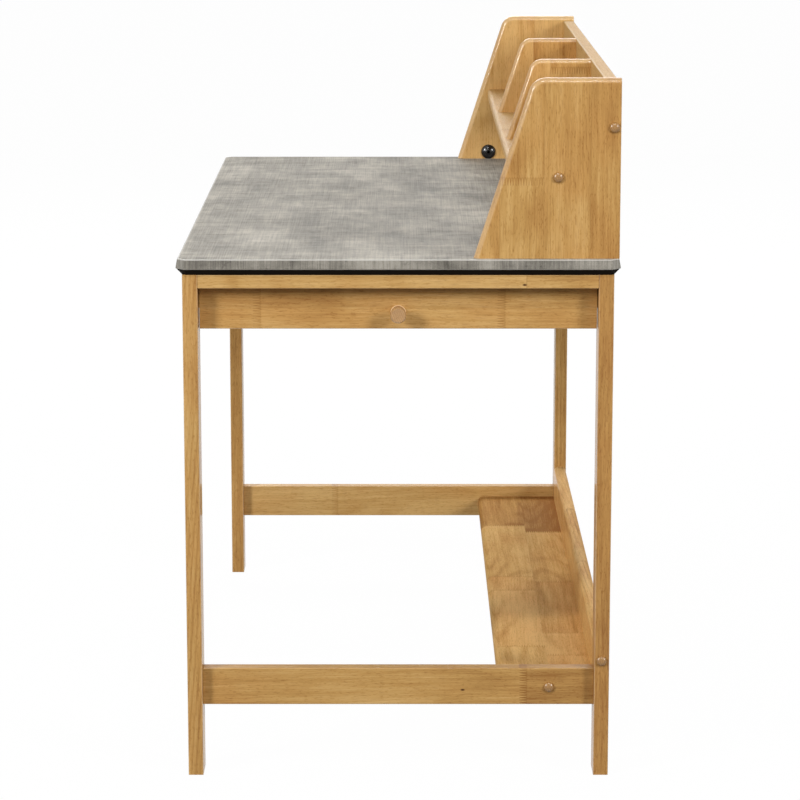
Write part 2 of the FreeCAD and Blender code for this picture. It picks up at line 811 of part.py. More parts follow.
def slanted_board(name, x, outline, front_round, edge_round, thickness):
    """An upright with a slanted front edge, a rounded corner above it and round-overs on both faces."""
    back_y, foot_level = outline[0]
    foot_y = outline[1][0]
    top_level = outline[2][1]
    board = Board(name, (x[0], foot_y, foot_level), (x[1], back_y, top_level), outline)
    top = (top_level - foot_level).amount()
    depth = (back_y - foot_y).amount()

    def is_front(middle):
        return middle.y < depth - NEAR

    def is_top_front(middle):
        return abs(middle.z - top) < NEAR and is_front(middle)

    board.ease(0, front_round, "front_corner", is_top_front)
    board.solid = round_edges(
        board.body,
        name + "_edge_round",
        board.solid,
        lesser(edge_round, thickness * ROUND_LIMIT_SHARE),
        lambda middle, direction: middle.z > NEAR and is_front(middle) and abs(direction.x) < NEAR,
    )
    return board


hutch_shelf_front = hutch_foot_y + hutch_slope * size.hutch_shelf_lift + size.hutch_shelf_setback
hutch_shelf = Board(
    "hutch_shelf",
    (-hutch_inner_x, hutch_shelf_front, hutch_shelf_low),
    (hutch_inner_x, hutch_back_y, hutch_shelf_top),
)
hutch_shelf.ease(
    0,
    lesser(size.hutch_shelf_round, size.hutch_shelf_thickness * ROUND_LIMIT_SHARE),
    "front_round",
    lambda middle: abs(middle.y) < NEAR,
)
hutch_back = Board(
    "hutch_back",
    (-hutch_inner_x, hutch_board_y, hutch_shelf_top),
    (hutch_inner_x, hutch_back_y, hutch_board_top),
)
hutch_back.ease(
    0,
    lesser(size.hutch_back_round, size.hutch_back_thickness * ROUND_LIMIT_SHARE),
    "top_round",
    lambda middle: middle.z > NEAR,
)
hutch_back_height = hutch_board_top - hutch_shelf_top
for share in BACK_FOOT_SHARES:
    spot = (hutch_inner_x * 2 * share, hutch_back.middle(1), hutch_shelf_top)
    dowel(hutch_dowels, hutch_shelf, hutch_back, spot, 2, 1)
for side, sx in SIDES.items():
    hutch_side = slanted_board(
        f"hutch_side_{side}",
        between(hutch_inner_x, hutch_outer_x, sx),
        slant_outline(hutch_foot_y, size.worktop_height, hutch_top, hutch_back_y),
        size.hutch_corner_round,
        size.hutch_edge_round,
        size.hutch_side_thickness,
    )
    hutch_side.ease(2, size.edge_ease, "back_ease")
    shelf_spot = (hutch_inner_x * sx, hutch_back_y - size.hutch_shelf_bolt_setback, hutch_shelf.middle(2))
    bolt_joint(hutch_bolts, hutch_barrel_nuts, hutch_button_plugs, hutch_side, hutch_shelf, shelf_spot, sx, 2)
    for share in SHELF_DOWEL_SHARES:
        spot = moved(shelf_spot, 1, hutch_shelf.span[1] * share)
        dowel(hutch_dowels, hutch_side, hutch_shelf, spot, 0, -sx)
    back_spot = (hutch_inner_x * sx, hutch_back.middle(1), hutch_back.middle(2))
    bolt_joint(hutch_bolts, hutch_barrel_nuts, hutch_button_plugs, hutch_side, hutch_back, back_spot, sx, 1)
    for share in BACK_DOWEL_SHARES:
        spot = moved(back_spot, 2, hutch_back_height * share)
        dowel(hutch_dowels, hutch_side, hutch_back, spot, 0, -sx)

    # Connectors at the foot of the side: a domed housing in its inner face and a stud from the worktop
    for connector_y in (
        hutch_foot_y + size.connector_front_setback,
        hutch_back_y - size.connector_back_setback,
    ):
        centre = (hutch_inner_x * sx, connector_y, size.worktop_height + size.connector_lift)
        bore_radius = size.connector_radius + size.fit_gap
        bore_depth = size.connector_depth + size.fit_gap
        hutch_side.bore(face_towards(0, -sx), centre, bore_radius, bore_depth)
        name = hutch_connectors.next_name()
        drum = rod(name + "_drum", centre, 0, sx, size.connector_radius, size.connector_depth)
        face = dome(name + "_dome", centre, 0, -sx, size.connector_radius, size.connector_dome)
        stud_x = hutch_inner_x * sx + size.connector_depth / 2 * sx
        stud_foot = (stud_x, connector_y, size.worktop_height - size.stud_bite)
        stud_length = size.stud_bite + size.connector_lift
        stud_hole = size.stud_radius + size.fit_gap
        hollow = rod(name + "_hole", stud_foot, 2, 1, stud_hole, stud_length + size.bore_spare)
        x = between(
            hutch_inner_x - size.connector_dome - size.cut_overrun,
            hutch_inner_x + size.connector_depth + size.cut_overrun,
            sx,
        )
        under = block(
            name + "_under",
            (x[0], connector_y - size.connector_radius, size.worktop_height - size.connector_radius),
            (x[1], connector_y + size.connector_radius, size.worktop_height),
        )
        hutch_connectors.add(cut_from(name, fused(name + "_housing", drum, face), hollow, under))
        connector_studs.add(
            rod(connector_studs.next_name(), stud_foot, 2, 1, size.stud_radius, stud_length)
        )
        laminate.bore("+Z", stud_foot, stud_hole, size.laminate_thickness + size.cut_overrun)
        core.bore("+Z", stud_foot, stud_hole, size.stud_bite - size.laminate_thickness + size.bore_spare)
    hutch_side.cut_bores()

# Dividers that stand on the hutch shelf and part it into three equal bays
bay_width = (hutch_inner_x * 2 - size.divider_thickness * 2) / 3
divider_foot_y = hutch_foot_y + hutch_slope * size.hutch_shelf_lift + size.divider_setback
for side, sx in SIDES.items():
    divider = slanted_board(
        f"hutch_divider_{side}",
        between(bay_width / 2, bay_width / 2 + size.divider_thickness, sx),
        slant_outline(divider_foot_y, hutch_shelf_top, hutch_board_top, hutch_board_y),
        size.divider_corner_round,
        size.divider_edge_round,
        size.divider_thickness,
    )
    for share in DIVIDER_FOOT_SHARES:
        spot = (divider.middle(0), divider_foot_y + divider.span[1] * share, hutch_shelf_top)
        dowel(hutch_dowels, hutch_shelf, divider, spot, 2, 1)
    back_spot = (
        divider.middle(0),
        hutch_board_y,
        hutch_shelf_top + hutch_back_height * DIVIDER_BACK_SHARE,
    )
    dowel(hutch_dowels, hutch_back, divider, back_spot, 1, -1)
    divider.cut_bores()
hutch_shelf.cut_bores()
hutch_back.cut_bores()

# Drawer that slides out of the right-hand end, under the upper rail
drawer_top = top_rail_low - size.drawer_gap
drawer_half = leg_inner_y - size.drawer_gap
box_outer_y = leg_inner_y - size.drawer_side_gap
box_inner_y = box_outer_y - size.drawer_side_thickness
box_low = apron_low + size.drawer_side_lift
box_high = box_low + size.drawer_side_height
box_back_x = end_panel_inner_x - size.drawer_length
bottom_low = box_low + size.drawer_bottom_lift
groove_height = size.drawer_bottom_thickness + size.fit_gap * 2
groove_low = bottom_low - size.fit_gap
groove_high = groove_low + groove_height

drawer_front = Board(
    "drawer_front",
    (end_panel_inner_x, -drawer_half, apron_low),
    (end_panel_outer_x, drawer_half, drawer_top),
)
drawer_front.ease(1, size.edge_ease)
drawer_back = Board(
    "drawer_back",
    (box_back_x, -box_inner_y, box_low),
    (box_back_x + size.drawer_side_thickness, box_inner_y, box_high),
)
drawer_front.groove(
    "bottom_groove",
    "-X",
    (zero, -box_inner_y - size.drawer_groove_depth, groove_low),
    (zero, box_inner_y + size.drawer_groove_depth, groove_high),
    size.drawer_groove_depth,
)
drawer_back.groove(
    "bottom_groove",
    "+X",
    (zero, -box_inner_y, groove_low),
    (zero, box_inner_y, groove_high),
    size.drawer_groove_depth,
)
groove_reach = size.drawer_groove_depth - size.fit_gap
Board(
    "drawer_bottom",
    (
        box_back_x + size.drawer_side_thickness - groove_reach,
        -box_inner_y - groove_reach,
        bottom_low,
    ),
    (
        end_panel_inner_x + groove_reach,
        box_inner_y + groove_reach,
        bottom_low + size.drawer_bottom_thickness,
    ),
)

runner_middle = box_low + size.drawer_side_height * RUNNER_HEIGHT_SHARE
runner_low = runner_middle - size.runner_height / 2
runner_high = runner_middle + size.runner_height / 2
runner_tip_y = box_outer_y - size.runner_bite
for side_name, end, sy in (("left", "front", -1), ("right", "back", 1)):
    y = between(box_inner_y, box_outer_y, sy)
    drawer_side = Board(
        f"drawer_side_{side_name}",
        (box_back_x, y[0], box_low),
        (end_panel_inner_x, y[1], box_high),
    )
    drawer_side.groove(
        "bottom_groove",
        face_towards(1, -sy),
        (box_back_x + size.drawer_side_thickness - size.drawer_groove_depth, zero, groove_low),
        (end_panel_inner_x, zero, groove_high),
        size.drawer_groove_depth,
    )
    drawer_side.groove(
        "runner_groove",
        face_towards(1, sy),
        (box_back_x, zero, runner_low - size.slide_gap),
        (end_panel_inner_x - size.runner_stop, zero, runner_high + size.slide_gap),
        size.runner_bite + size.slide_gap,
    )
    for share in DRAWER_DOWEL_SHARES:
        level = box_low + size.drawer_side_height * share
        front_spot = (end_panel_inner_x, drawer_side.middle(1), level)
        dowel(drawer_dowels, drawer_front, drawer_side, front_spot, 0, -1, SMALL_DOWEL)
        back_spot = (box_back_x + size.drawer_side_thickness / 2, box_inner_y * sy, level)
        dowel(drawer_dowels, drawer_side, drawer_back, back_spot, 1, -sy, SMALL_DOWEL)
    drawer_side.cut_bores()

    # Runner screwed to the long apron, which the groove in the drawer's side rides on
    y = between(runner_tip_y, apron_inner_y, sy)
    runner_back_x = box_back_x - size.runner_overrun
    runner_front_x = end_panel_inner_x - size.runner_stop - size.slide_gap
    runner = Board(
        f"drawer_runner_{end}",
        (runner_back_x, y[0], runner_low),
        (runner_front_x, y[1], runner_high),
    )
    for share in RUNNER_SCREW_SHARES:
        spot = (runner_back_x + runner.span[0] * share, runner_tip_y * sy, runner_middle)
        face = face_towards(1, -sy)
        sink = size.screw_head_height + size.bore_spare
        thickness = apron_inner_y - runner_tip_y
        runner.bore(face, spot, size.screw_head_radius + size.fit_gap, sink)
        runner.bore(face, spot, size.screw_radius + size.fit_gap, thickness)
        apron_spot = moved(spot, 1, thickness * sy)
        hole = size.screw_radius + size.fit_gap
        aprons[end].bore(face, apron_spot, hole, size.screw_bite + size.bore_spare)
        seat = moved(spot, 1, sink * sy)
        length = thickness - sink + size.screw_bite
        runner_screws.add(screw_at(runner_screws.next_name(), seat, 1, sy, length))
    runner.cut_bores()

# Knob, turned to a foot, a short neck and a rounded head, and the screw that holds it
knob_z = apron_low + size.knob_lift
knob = doc.addObject("PartDesign::Body", "drawer_knob")
knob.Label = "drawer_knob"
knob.Placement.Rotation = FreeCAD.Rotation(FreeCAD.Vector(0, 0, 1), FreeCAD.Vector(1, 0, 0))
bind_place(knob, (end_panel_outer_x, zero, knob_z))
pieces.append(knob)
knob_sketch = new_sketch(knob, "drawer_knob_outline", "XZ_Plane")
knob_hole = size.screw_radius + size.fit_gap
knob_hole_depth = size.screw_bite + size.bore_spare
knob_neck_top = size.knob_foot_length + size.knob_neck_length
knob_length = knob_neck_top + size.knob_head_length
polygon(
    knob_sketch,
    [
        (zero, knob_hole_depth),
        (knob_hole, knob_hole_depth),
        (knob_hole, zero),
        (size.knob_foot_radius, zero),
        (size.knob_foot_radius, size.knob_foot_length),
        (size.knob_neck_radius, size.knob_foot_length),
        (size.knob_neck_radius, knob_neck_top),
        (size.knob_radius, knob_neck_top + size.knob_round),
        (size.knob_radius, knob_length),
        (zero, knob_length),
    ],
)
knob_turned = knob.newObject("PartDesign::Revolution", "drawer_knob_turned")
knob_turned.Profile = knob_sketch
knob_turned.ReferenceAxis = (knob_sketch, ["V_Axis"])
knob_turned.Angle = 360
knob_face = knob_length.amount()
round_edges(
    knob,
    "drawer_knob_rim",
    knob_turned,
    size.knob_round,
    lambda middle, direction: abs(middle.z - knob_face) < NEAR and middle.x ** 2 + middle.y ** 2 > NEAR,
)
front_spot = (end_panel_inner_x, zero, knob_z)
drawer_front.bore("-X", front_spot, knob_hole, size.end_panel_thickness)
drawer_front.cut_bores()
drawer_back.cut_bores()
knob_screw = screw_at("knob_screw", front_spot, 0, 1, size.end_panel_thickness + size.screw_bite)
knob_screw.Label = "knob_screw"
pieces.append(knob_screw)

# Holes in the pieces that several joints share
for shared in [core, laminate, *legs.values(), *aprons.values()]:
    shared.cut_bores()
for group in (
    frame_dowels,
    hutch_dowels,
    drawer_dowels,
    rail_bolts,
    leg_bolts,
    hutch_bolts,
    frame_barrel_nuts,
    hutch_barrel_nuts,
    frame_button_plugs,
    hutch_button_plugs,
    apron_cams,
    apron_cam_bolts,
    worktop_brackets,
    bracket_screws,
    runner_screws,
    hutch_connectors,
    connector_studs,
):
    group.gather()
doc.recompute()

# Every object has to be sound before anything is written
for thing in doc.Objects:
    if "Invalid" in thing.State or "Error" in thing.State:
        raise RuntimeError(f"{thing.Name} could not be worked out: {thing.State}")
for cut in cuts:
    if not cut.Shape.Volume < cut.BaseFeature.Shape.Volume:
        raise RuntimeError(f"{cut.Name} cuts nothing")
for piece in pieces:
    if piece.Shape.isNull() or not piece.Shape.isValid() or not piece.Shape.Solids:
        raise RuntimeError(f"{piece.Label} has no sound solid")

os.makedirs("parts", exist_ok=True)
for piece in pieces:
    piece.Shape.exportStep(f"parts/{piece.Label}.step")
print(f"{len(pieces)} pieces written")
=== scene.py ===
import math
import random

import bmesh
import bpy
from bpy.props import FloatProperty, FloatVectorProperty, IntProperty, PointerProperty
from bpy.types import Operator, Panel, PropertyGroup
from mathutils import Matrix, Vector


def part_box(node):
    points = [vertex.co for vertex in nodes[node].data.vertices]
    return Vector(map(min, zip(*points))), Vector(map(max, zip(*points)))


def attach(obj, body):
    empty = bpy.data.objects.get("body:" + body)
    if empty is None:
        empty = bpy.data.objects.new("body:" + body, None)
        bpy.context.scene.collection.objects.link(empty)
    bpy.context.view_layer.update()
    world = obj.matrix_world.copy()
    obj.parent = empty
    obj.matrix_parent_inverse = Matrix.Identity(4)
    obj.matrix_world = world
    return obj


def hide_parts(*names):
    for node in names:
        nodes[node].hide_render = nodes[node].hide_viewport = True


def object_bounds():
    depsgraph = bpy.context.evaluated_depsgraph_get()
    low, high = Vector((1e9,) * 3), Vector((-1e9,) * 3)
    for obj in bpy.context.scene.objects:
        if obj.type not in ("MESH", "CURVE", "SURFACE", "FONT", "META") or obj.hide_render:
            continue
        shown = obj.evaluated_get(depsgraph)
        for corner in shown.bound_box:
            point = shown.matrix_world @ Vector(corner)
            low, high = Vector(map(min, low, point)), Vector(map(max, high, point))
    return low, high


bl_info = {
    "name": "Writing Desk Finishes",
    "version": (1, 0, 0),
    "blender": (4, 5, 0),
    "location": "View3D > Sidebar > Desk",
    "description": "Gives the packed writing desk its timber, laminate and fittings, and a plain studio",
    "category": "Object",
}

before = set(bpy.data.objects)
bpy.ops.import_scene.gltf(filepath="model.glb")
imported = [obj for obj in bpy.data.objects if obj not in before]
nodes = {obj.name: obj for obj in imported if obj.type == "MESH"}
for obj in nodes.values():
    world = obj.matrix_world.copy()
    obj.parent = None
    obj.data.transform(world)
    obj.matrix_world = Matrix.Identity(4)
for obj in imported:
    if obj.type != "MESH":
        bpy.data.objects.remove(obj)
desk_low, desk_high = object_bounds()

# The letters of the three axes, in the order of a vector's parts
AXES = "XYZ"
FULL_TURN = math.tau
# Points of a mesh that are closer than this are one, in metres
MERGE_DISTANCE = 1e-6
# Edges that turn by more than this are drawn sharp
SHARP_ANGLE = math.radians(38)
# Index of refraction of the lacquer's coat
LACQUER_IOR = 1.7


# Sizes and colours that a user would change
class TimberFinish(PropertyGroup):
    """Lacquered rubberwood, glued up from short finger-jointed staves"""

    pale: FloatVectorProperty(
        name="Pale", description="Colour of the lightest timber", subtype="COLOR",
        default=(0.64, 0.408, 0.160),
    )
    golden: FloatVectorProperty(
        name="Golden", description="Colour of most of the timber", subtype="COLOR",
        default=(0.50, 0.287, 0.092),
    )
    deep: FloatVectorProperty(
        name="Deep", description="Colour of the darkest staves", subtype="COLOR", default=(0.30, 0.142, 0.040)
    )
    blush: FloatVectorProperty(
        name="Blush", description="Tint of the pinker patches", subtype="COLOR", default=(1.0, 0.90, 0.86)
    )
    pore: FloatVectorProperty(
        name="Pore", description="Colour in the open pores", subtype="COLOR", default=(0.22, 0.095, 0.028)
    )
    knot: FloatVectorProperty(
        name="Knot", description="Colour of the pin knots", subtype="COLOR", default=(0.07, 0.025, 0.010)
    )
    box_pale: FloatVectorProperty(
        name="Drawer Pale", description="Lightest colour inside the drawer", subtype="COLOR",
        default=(0.74, 0.57, 0.34),
    )
    box_golden: FloatVectorProperty(
        name="Drawer Golden", description="Main colour inside the drawer", subtype="COLOR",
        default=(0.62, 0.44, 0.23),
    )
    stave_width: FloatProperty(
        name="Stave Width", description="Usual width of one stave", unit="LENGTH", default=0.062
    )
    stave_length: FloatProperty(
        name="Stave Length", description="Usual distance between two finger joints", unit="LENGTH",
        default=0.32,
    )
    finger_pitch: FloatProperty(
        name="Finger Pitch", description="Width of one finger of a joint", unit="LENGTH", default=0.0036
    )
    finger_length: FloatProperty(
        name="Finger Length", description="Length of one finger of a joint", unit="LENGTH", default=0.0100
    )
    ring_gap: FloatProperty(
        name="Ring Gap", description="Distance between two growth rings", unit="LENGTH", default=0.0075
    )
    roughness: FloatProperty(
        name="Roughness", description="Roughness of the lacquered surface", subtype="FACTOR", default=0.46
    )
    gloss: FloatProperty(
        name="Gloss", description="Reflection of the flat faces", subtype="FACTOR", default=0.12
    )
    edge_gloss: FloatProperty(
        name="Edge Gloss", description="Strength of the lacquer on the rounded edges", subtype="FACTOR",
        default=0.9,
    )
    face_gloss: FloatProperty(
        name="Face Gloss", description="Strength of the lacquer on polished faces", subtype="FACTOR",
        default=0.42,
    )
    # How strong the painted highlight is: the pale colour painted on the rounded edges
    arris_highlight: FloatProperty(
        name="Arris Wear", description="How pale the rounded edges are sanded", subtype="FACTOR", default=0.2
    )
    edge_roughness: FloatProperty(
        name="Edge Roughness", description="Roughness of the lacquer on the rounded edges and the knob",
        subtype="FACTOR", default=0.07,
    )
    plug_roughness: FloatProperty(
        name="Plug Roughness", description="Roughness of the lacquer on the plugs", subtype="FACTOR",
        default=0.24,
    )
    plug: FloatVectorProperty(
        name="Plug", description="Colour of the button plugs", subtype="COLOR", default=(0.31, 0.15, 0.036)
    )
    # Painted highlight colour, laid on the rounded edges and on the rim of the knob's foot
    rim: FloatVectorProperty(
        name="Rim", description="Colour of worn edges and of the side grain on the knob's foot",
        subtype="COLOR", default=(0.95, 0.68, 0.38),
    )
    knob_face: FloatVectorProperty(
        name="Knob", description="Colour of the knob's end grain", subtype="COLOR",
        default=(0.43, 0.235, 0.090),
    )


class StoneFinish(PropertyGroup):
    """Concrete-look laminate of the worktop and its edge band"""

    light: FloatVectorProperty(
        name="Light", description="Colour of the light patches", subtype="COLOR",
        default=(0.514, 0.478, 0.412),
    )
    middle: FloatVectorProperty(
        name="Middle", description="Colour between the patches", subtype="COLOR",
        default=(0.311, 0.288, 0.246),
    )
    dark: FloatVectorProperty(
        name="Dark", description="Colour of the dark patches", subtype="COLOR", default=(0.152, 0.140, 0.120)
    )
    # Painted highlight colour of the laminate's arrises and corners
    rub_and_highlight: FloatVectorProperty(
        name="Rubbed", description="Colour of the rubbed arris", subtype="COLOR", default=(0.66, 0.64, 0.59)
    )
    # Width of the painted highlight line along an edge
    line: FloatProperty(
        name="Rubbed Line", description="Width of the rubbed line on an edge", unit="LENGTH", default=0.0017
    )
    thread: FloatProperty(
        name="Thread", description="Width of one thread of the linen pattern", unit="LENGTH", default=0.0034
    )
    roughness: FloatProperty(
        name="Roughness", description="Roughness of the laminate", subtype="FACTOR", default=0.55
    )
    gloss: FloatProperty(
        name="Gloss", description="Reflection of the laminate", subtype="FACTOR", default=0.018
    )


class FittingFinish(PropertyGroup):
    """Paint, plastic and metal of the small parts"""

    paint: FloatVectorProperty(
        name="Paint", description="Black paint of the worktop's core", subtype="COLOR",
        default=(0.007, 0.0055, 0.004),
    )
    dust: FloatVectorProperty(
        name="Dust", description="Colour of the dust on the paint", subtype="COLOR",
        default=(0.02, 0.018, 0.016),
    )
    plastic: FloatVectorProperty(
        name="Plastic", description="Moulded plastic of the connectors", subtype="COLOR",
        default=(0.008, 0.008, 0.008),
    )
    haze: FloatVectorProperty(
        name="Haze", description="Colour of the haze on the plastic", subtype="COLOR",
        default=(0.022, 0.022, 0.022),
    )
    zinc: FloatVectorProperty(
        name="Zinc", description="Zinc plating of the metal fittings", subtype="COLOR",
        default=(0.62, 0.62, 0.60),
    )
    bloom: FloatVectorProperty(
        name="Bloom", description="Colour of the dull bloom on the zinc", subtype="COLOR",
        default=(0.42, 0.43, 0.45),
    )
    recess_share: FloatProperty(
        name="Recess", description="Width of a cross recess as a share of its head", subtype="FACTOR",
        default=0.62,
    )


class StudioSettings(PropertyGroup):
    """Floor, lights and camera"""

    camera_place: FloatVectorProperty(
        name="Camera", description="Where the camera stands", subtype="TRANSLATION",
        default=(4.761, 0.0025, 1.3602),
    )
    camera_pitch: FloatProperty(
        name="Pitch", description="How far the camera looks down", subtype="ANGLE",
        default=math.radians(11.1565),
    )
    camera_lens: FloatProperty(
        name="Lens", description="Focal length of the camera", unit="CAMERA", default=138.42
    )
    floor_size: FloatProperty(
        name="Floor", description="Side of the square floor", unit="LENGTH", default=60.0
    )
    floor_colour: FloatVectorProperty(
        name="Floor Colour", description="Colour of the floor", subtype="COLOR", default=(0.90, 0.90, 0.90)
    )
    floor_bounce: FloatVectorProperty(
        name="Floor Bounce", description="Colour that the floor lights the desk with", subtype="COLOR",
        default=(0.25, 0.25, 0.25),
    )
    floor_glow: FloatProperty(
        name="Floor White", description="Share of plain white that the camera sees", subtype="FACTOR",
        default=0.985,
    )
    room_light: FloatProperty(
        name="Room Light", description="Strength of the even light from all round", default=0.09
    )
    top_power: FloatProperty(
        name="Top Light", description="Power of the strip light overhead", unit="POWER", default=48.0
    )
    left_power: FloatProperty(
        name="Left Light", description="Power of the tall soft box on the left", unit="POWER", default=330.0
    )
    right_power: FloatProperty(
        name="Right Light", description="Power of the tall soft box on the right", unit="POWER", default=270.0
    )
    back_power: FloatProperty(
        name="Back Light", description="Power of the wide soft box at the far end", unit="POWER",
        default=230.0,
    )


class Signal:
    """One output of a shader's nodes, on which ordinary sums and comparisons add Math nodes."""

    def __init__(self, shader, socket):
        self.shader = shader
        self.socket = socket

    def math(self, operation, *others, **settings):
        """One Math node with this value as its first."""
        return self.shader.node("Math", (self, *others), operation=operation, **settings)

    def __add__(self, other):
        return self.math("ADD", other)

    __radd__ = __add__

    def __sub__(self, other):
        return self.math("SUBTRACT", other)

    def __rsub__(self, other):
        return self.shader.node("Math", (other, self), operation="SUBTRACT")

    def __mul__(self, other):
        return self.math("MULTIPLY", other)

    __rmul__ = __mul__

    def __truediv__(self, other):
        return self.math("DIVIDE", other)

    def __pow__(self, other):
        return self.math("POWER", other)

    def __abs__(self):
        return self.math("ABSOLUTE")

    def __gt__(self, other):
        return self.math("GREATER_THAN", other)

    def least(self, other):
        """The smaller of two values."""
        return self.math("MINIMUM", other)

    def most(self, other):
        """The larger of two values."""
        return self.math("MAXIMUM", other)

    def wave(self, period):
        """A sine wave from 0 to 1 along the value."""
        return (self * (FULL_TURN / period)).math("SINE") * 0.5 + 0.5

    def rise(self, low, high):
        """0 below the low value, 1 above the high one, and a smooth step between."""
        sockets = {"Value": self, "From Min": low, "From Max": high}
        return self.shader.node("MapRange", sockets, interpolation_type="SMOOTHSTEP")


class Shader:
    """The node tree of one material, or of another kind of data such as a world."""

    def __init__(self, name, collection=None):
        collection = bpy.data.materials if collection is None else collection
        self.owner = collection.new(name)
        self.owner.use_nodes = True
        self.tree = self.owner.node_tree
        self.tree.nodes.clear()

    def node(self, kind, sockets=(), output=0, stops=(), **settings):
        """Adds a node: first its settings, then the values or links of its sockets."""
        made = self.tree.nodes.new("ShaderNode" + kind)
        for setting, value in settings.items():
            setattr(made, setting, value)
        for i, (position, colour) in enumerate(stops):
            ramp = made.color_ramp.elements
            stop = ramp[i] if i < len(ramp) else ramp.new(position)
            stop.position = position
            stop.color = (*colour, 1)
        pairs = sockets.items() if isinstance(sockets, dict) else enumerate(sockets)
        for name, value in pairs:
            socket = made.inputs[name]
            if isinstance(value, Signal):
                self.tree.links.new(value.socket, socket)
            elif socket.type == "RGBA":
                socket.default_value = (*value, 1)
            else:
                socket.default_value = value
        return Signal(self, made.outputs[output])

    def outputs(self, signal):
        """All outputs of the node that a signal comes from."""
        return [Signal(self, socket) for socket in signal.socket.node.outputs]

    def split(self, kind, signal):
        """The three parts of a colour or vector."""
        return self.outputs(self.node("Separate" + kind, (signal,)))

    def place(self):
        """The object's own coordinates, one value for each axis letter."""
        return dict(zip(AXES, self.split("XYZ", self.node("TexCoord", output="Object"))))

    def direction(self):
        """Where the surface faces, one value for each axis letter."""
        return dict(zip(AXES, self.split("XYZ", self.node("TexCoord", output="Normal"))))

    def vector(self, *parts):
        """A vector of up to three values."""
        return self.node("CombineXYZ", parts)

    def length(self, *parts):
        """The length of a vector of up to three values."""
        return self.node("VectorMath", (self.vector(*parts),), output="Value", operation="LENGTH")

    def noise(self, parts, detail=2.0, roughness=0.5):
        """Smooth noise over three values that are already at their scale."""
        sockets = {"Vector": self.vector(*parts), "Scale": 1.0, "Detail": detail, "Roughness": roughness}
        return self.node("TexNoise", sockets)

    def ramp(self, value, stops):
        """A colour that runs through the stops."""
        return self.node("ValToRGB", (value,), stops=stops)

    def mix(self, share, first, second, how="MIX"):
        """Two colours mixed. A Mix node has sockets for each kind of data, and these are the colours'."""
        sockets = {0: share, 6: first, 7: second}
        return self.node("Mix", sockets, output=2, data_type="RGBA", blend_type=how)

    def bump(self, height, strength, distance):
        """A normal that follows a height."""
        return self.node("Bump", {"Height": height, "Strength": strength, "Distance": distance})

    def surface(self, **sockets):
        """The finished material from a Principled BSDF's sockets, named with underscores."""
        named = {name.replace("_", " "): value for name, value in sockets.items()}
        return self.output(self.node("BsdfPrincipled", named))

    def output(self, surface, kind="Material"):
        """Ends the tree in a surface and returns what it belongs to."""
        end = self.tree.nodes.new("ShaderNodeOutput" + kind)
        self.tree.links.new(surface.socket, end.inputs["Surface"])
        return self.owner


# Timber
class Layout:
    """How a board is glued up. Every place is a share of the board's box, from its low corner.

    Seams part the staves across the board. Each stave has the places of its joints along the grain,
    fingered or straight, and the tones of its blocks, from 0 for pale to 1 for deep. A knot has its
    place along and across the grain and its radius in metres. A board with butt joint shade has a dark
    line at both ends, where it meets its neighbours: its joint, with painted shade of the crevice there.
    The shine scales the gloss of the flat faces, and the edge shine the lacquer and the painted
    highlight of the rounded edges. Faces square to the polished axis are lacquered too. The lightness
    scales the board's colours, and the glue is how dark its glue lines and painted end shade are.
    """

    def __init__(self, grain, across, seams=(), joints=((),), tones=((0.5,),), knots=(), fingered=True,
                 butt_joint_and_shade=False, shine=1.0, edge_shine=1.0, polished="", lightness=1.0, glue=0.4):
        self.grain = grain
        self.across = across
        self.through = next(axis for axis in AXES if axis not in (grain, across))
        self.seams = seams
        self.joints = joints
        self.tones = tones
        self.knots = knots
        self.fingered = fingered
        self.butt_joint_and_shade = butt_joint_and_shade
        self.shine = shine
        self.edge_shine = edge_shine
        self.polished = polished
        self.lightness = lightness
        self.glue = glue


# How far a seam strays from its even place, as a share of a stave's width
SEAM_STRAY = 0.15
# Where a stave's first joint lies, how far on the next ones follow and how near the board's end none lies,
# all as shares of the usual distance between joints
FIRST_JOINT = (0.35, 1)
NEXT_JOINT = (0.75, 1.25)
END_CLEARANCE = 0.2


def glued_up(node, grain, across, draw, tone=0.5, spread=0.22):
    """A usual layout for a board, with its seams, joints and tones drawn at random."""
    timber = bpy.context.scene.desk_timber
    low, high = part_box(node)
    length, width = ((high - low)[AXES.index(axis)] for axis in (grain, across))
    staves = max(1, round(width / timber.stave_width))
    seams = [(i + draw.uniform(-SEAM_STRAY, SEAM_STRAY)) / staves for i in range(1, staves)]
    joints = []
    tones = []
    for _ in range(staves):
        places = []
        place = draw.uniform(*FIRST_JOINT) * timber.stave_length
        while place < length - timber.stave_length * END_CLEARANCE:
            places.append(place / length)
            place += draw.uniform(*NEXT_JOINT) * timber.stave_length
        joints.append(places)
        tones.append([tone + draw.uniform(-spread, spread) for _ in range(len(places) + 1)])
    return Layout(grain, across, seams, joints, tones)


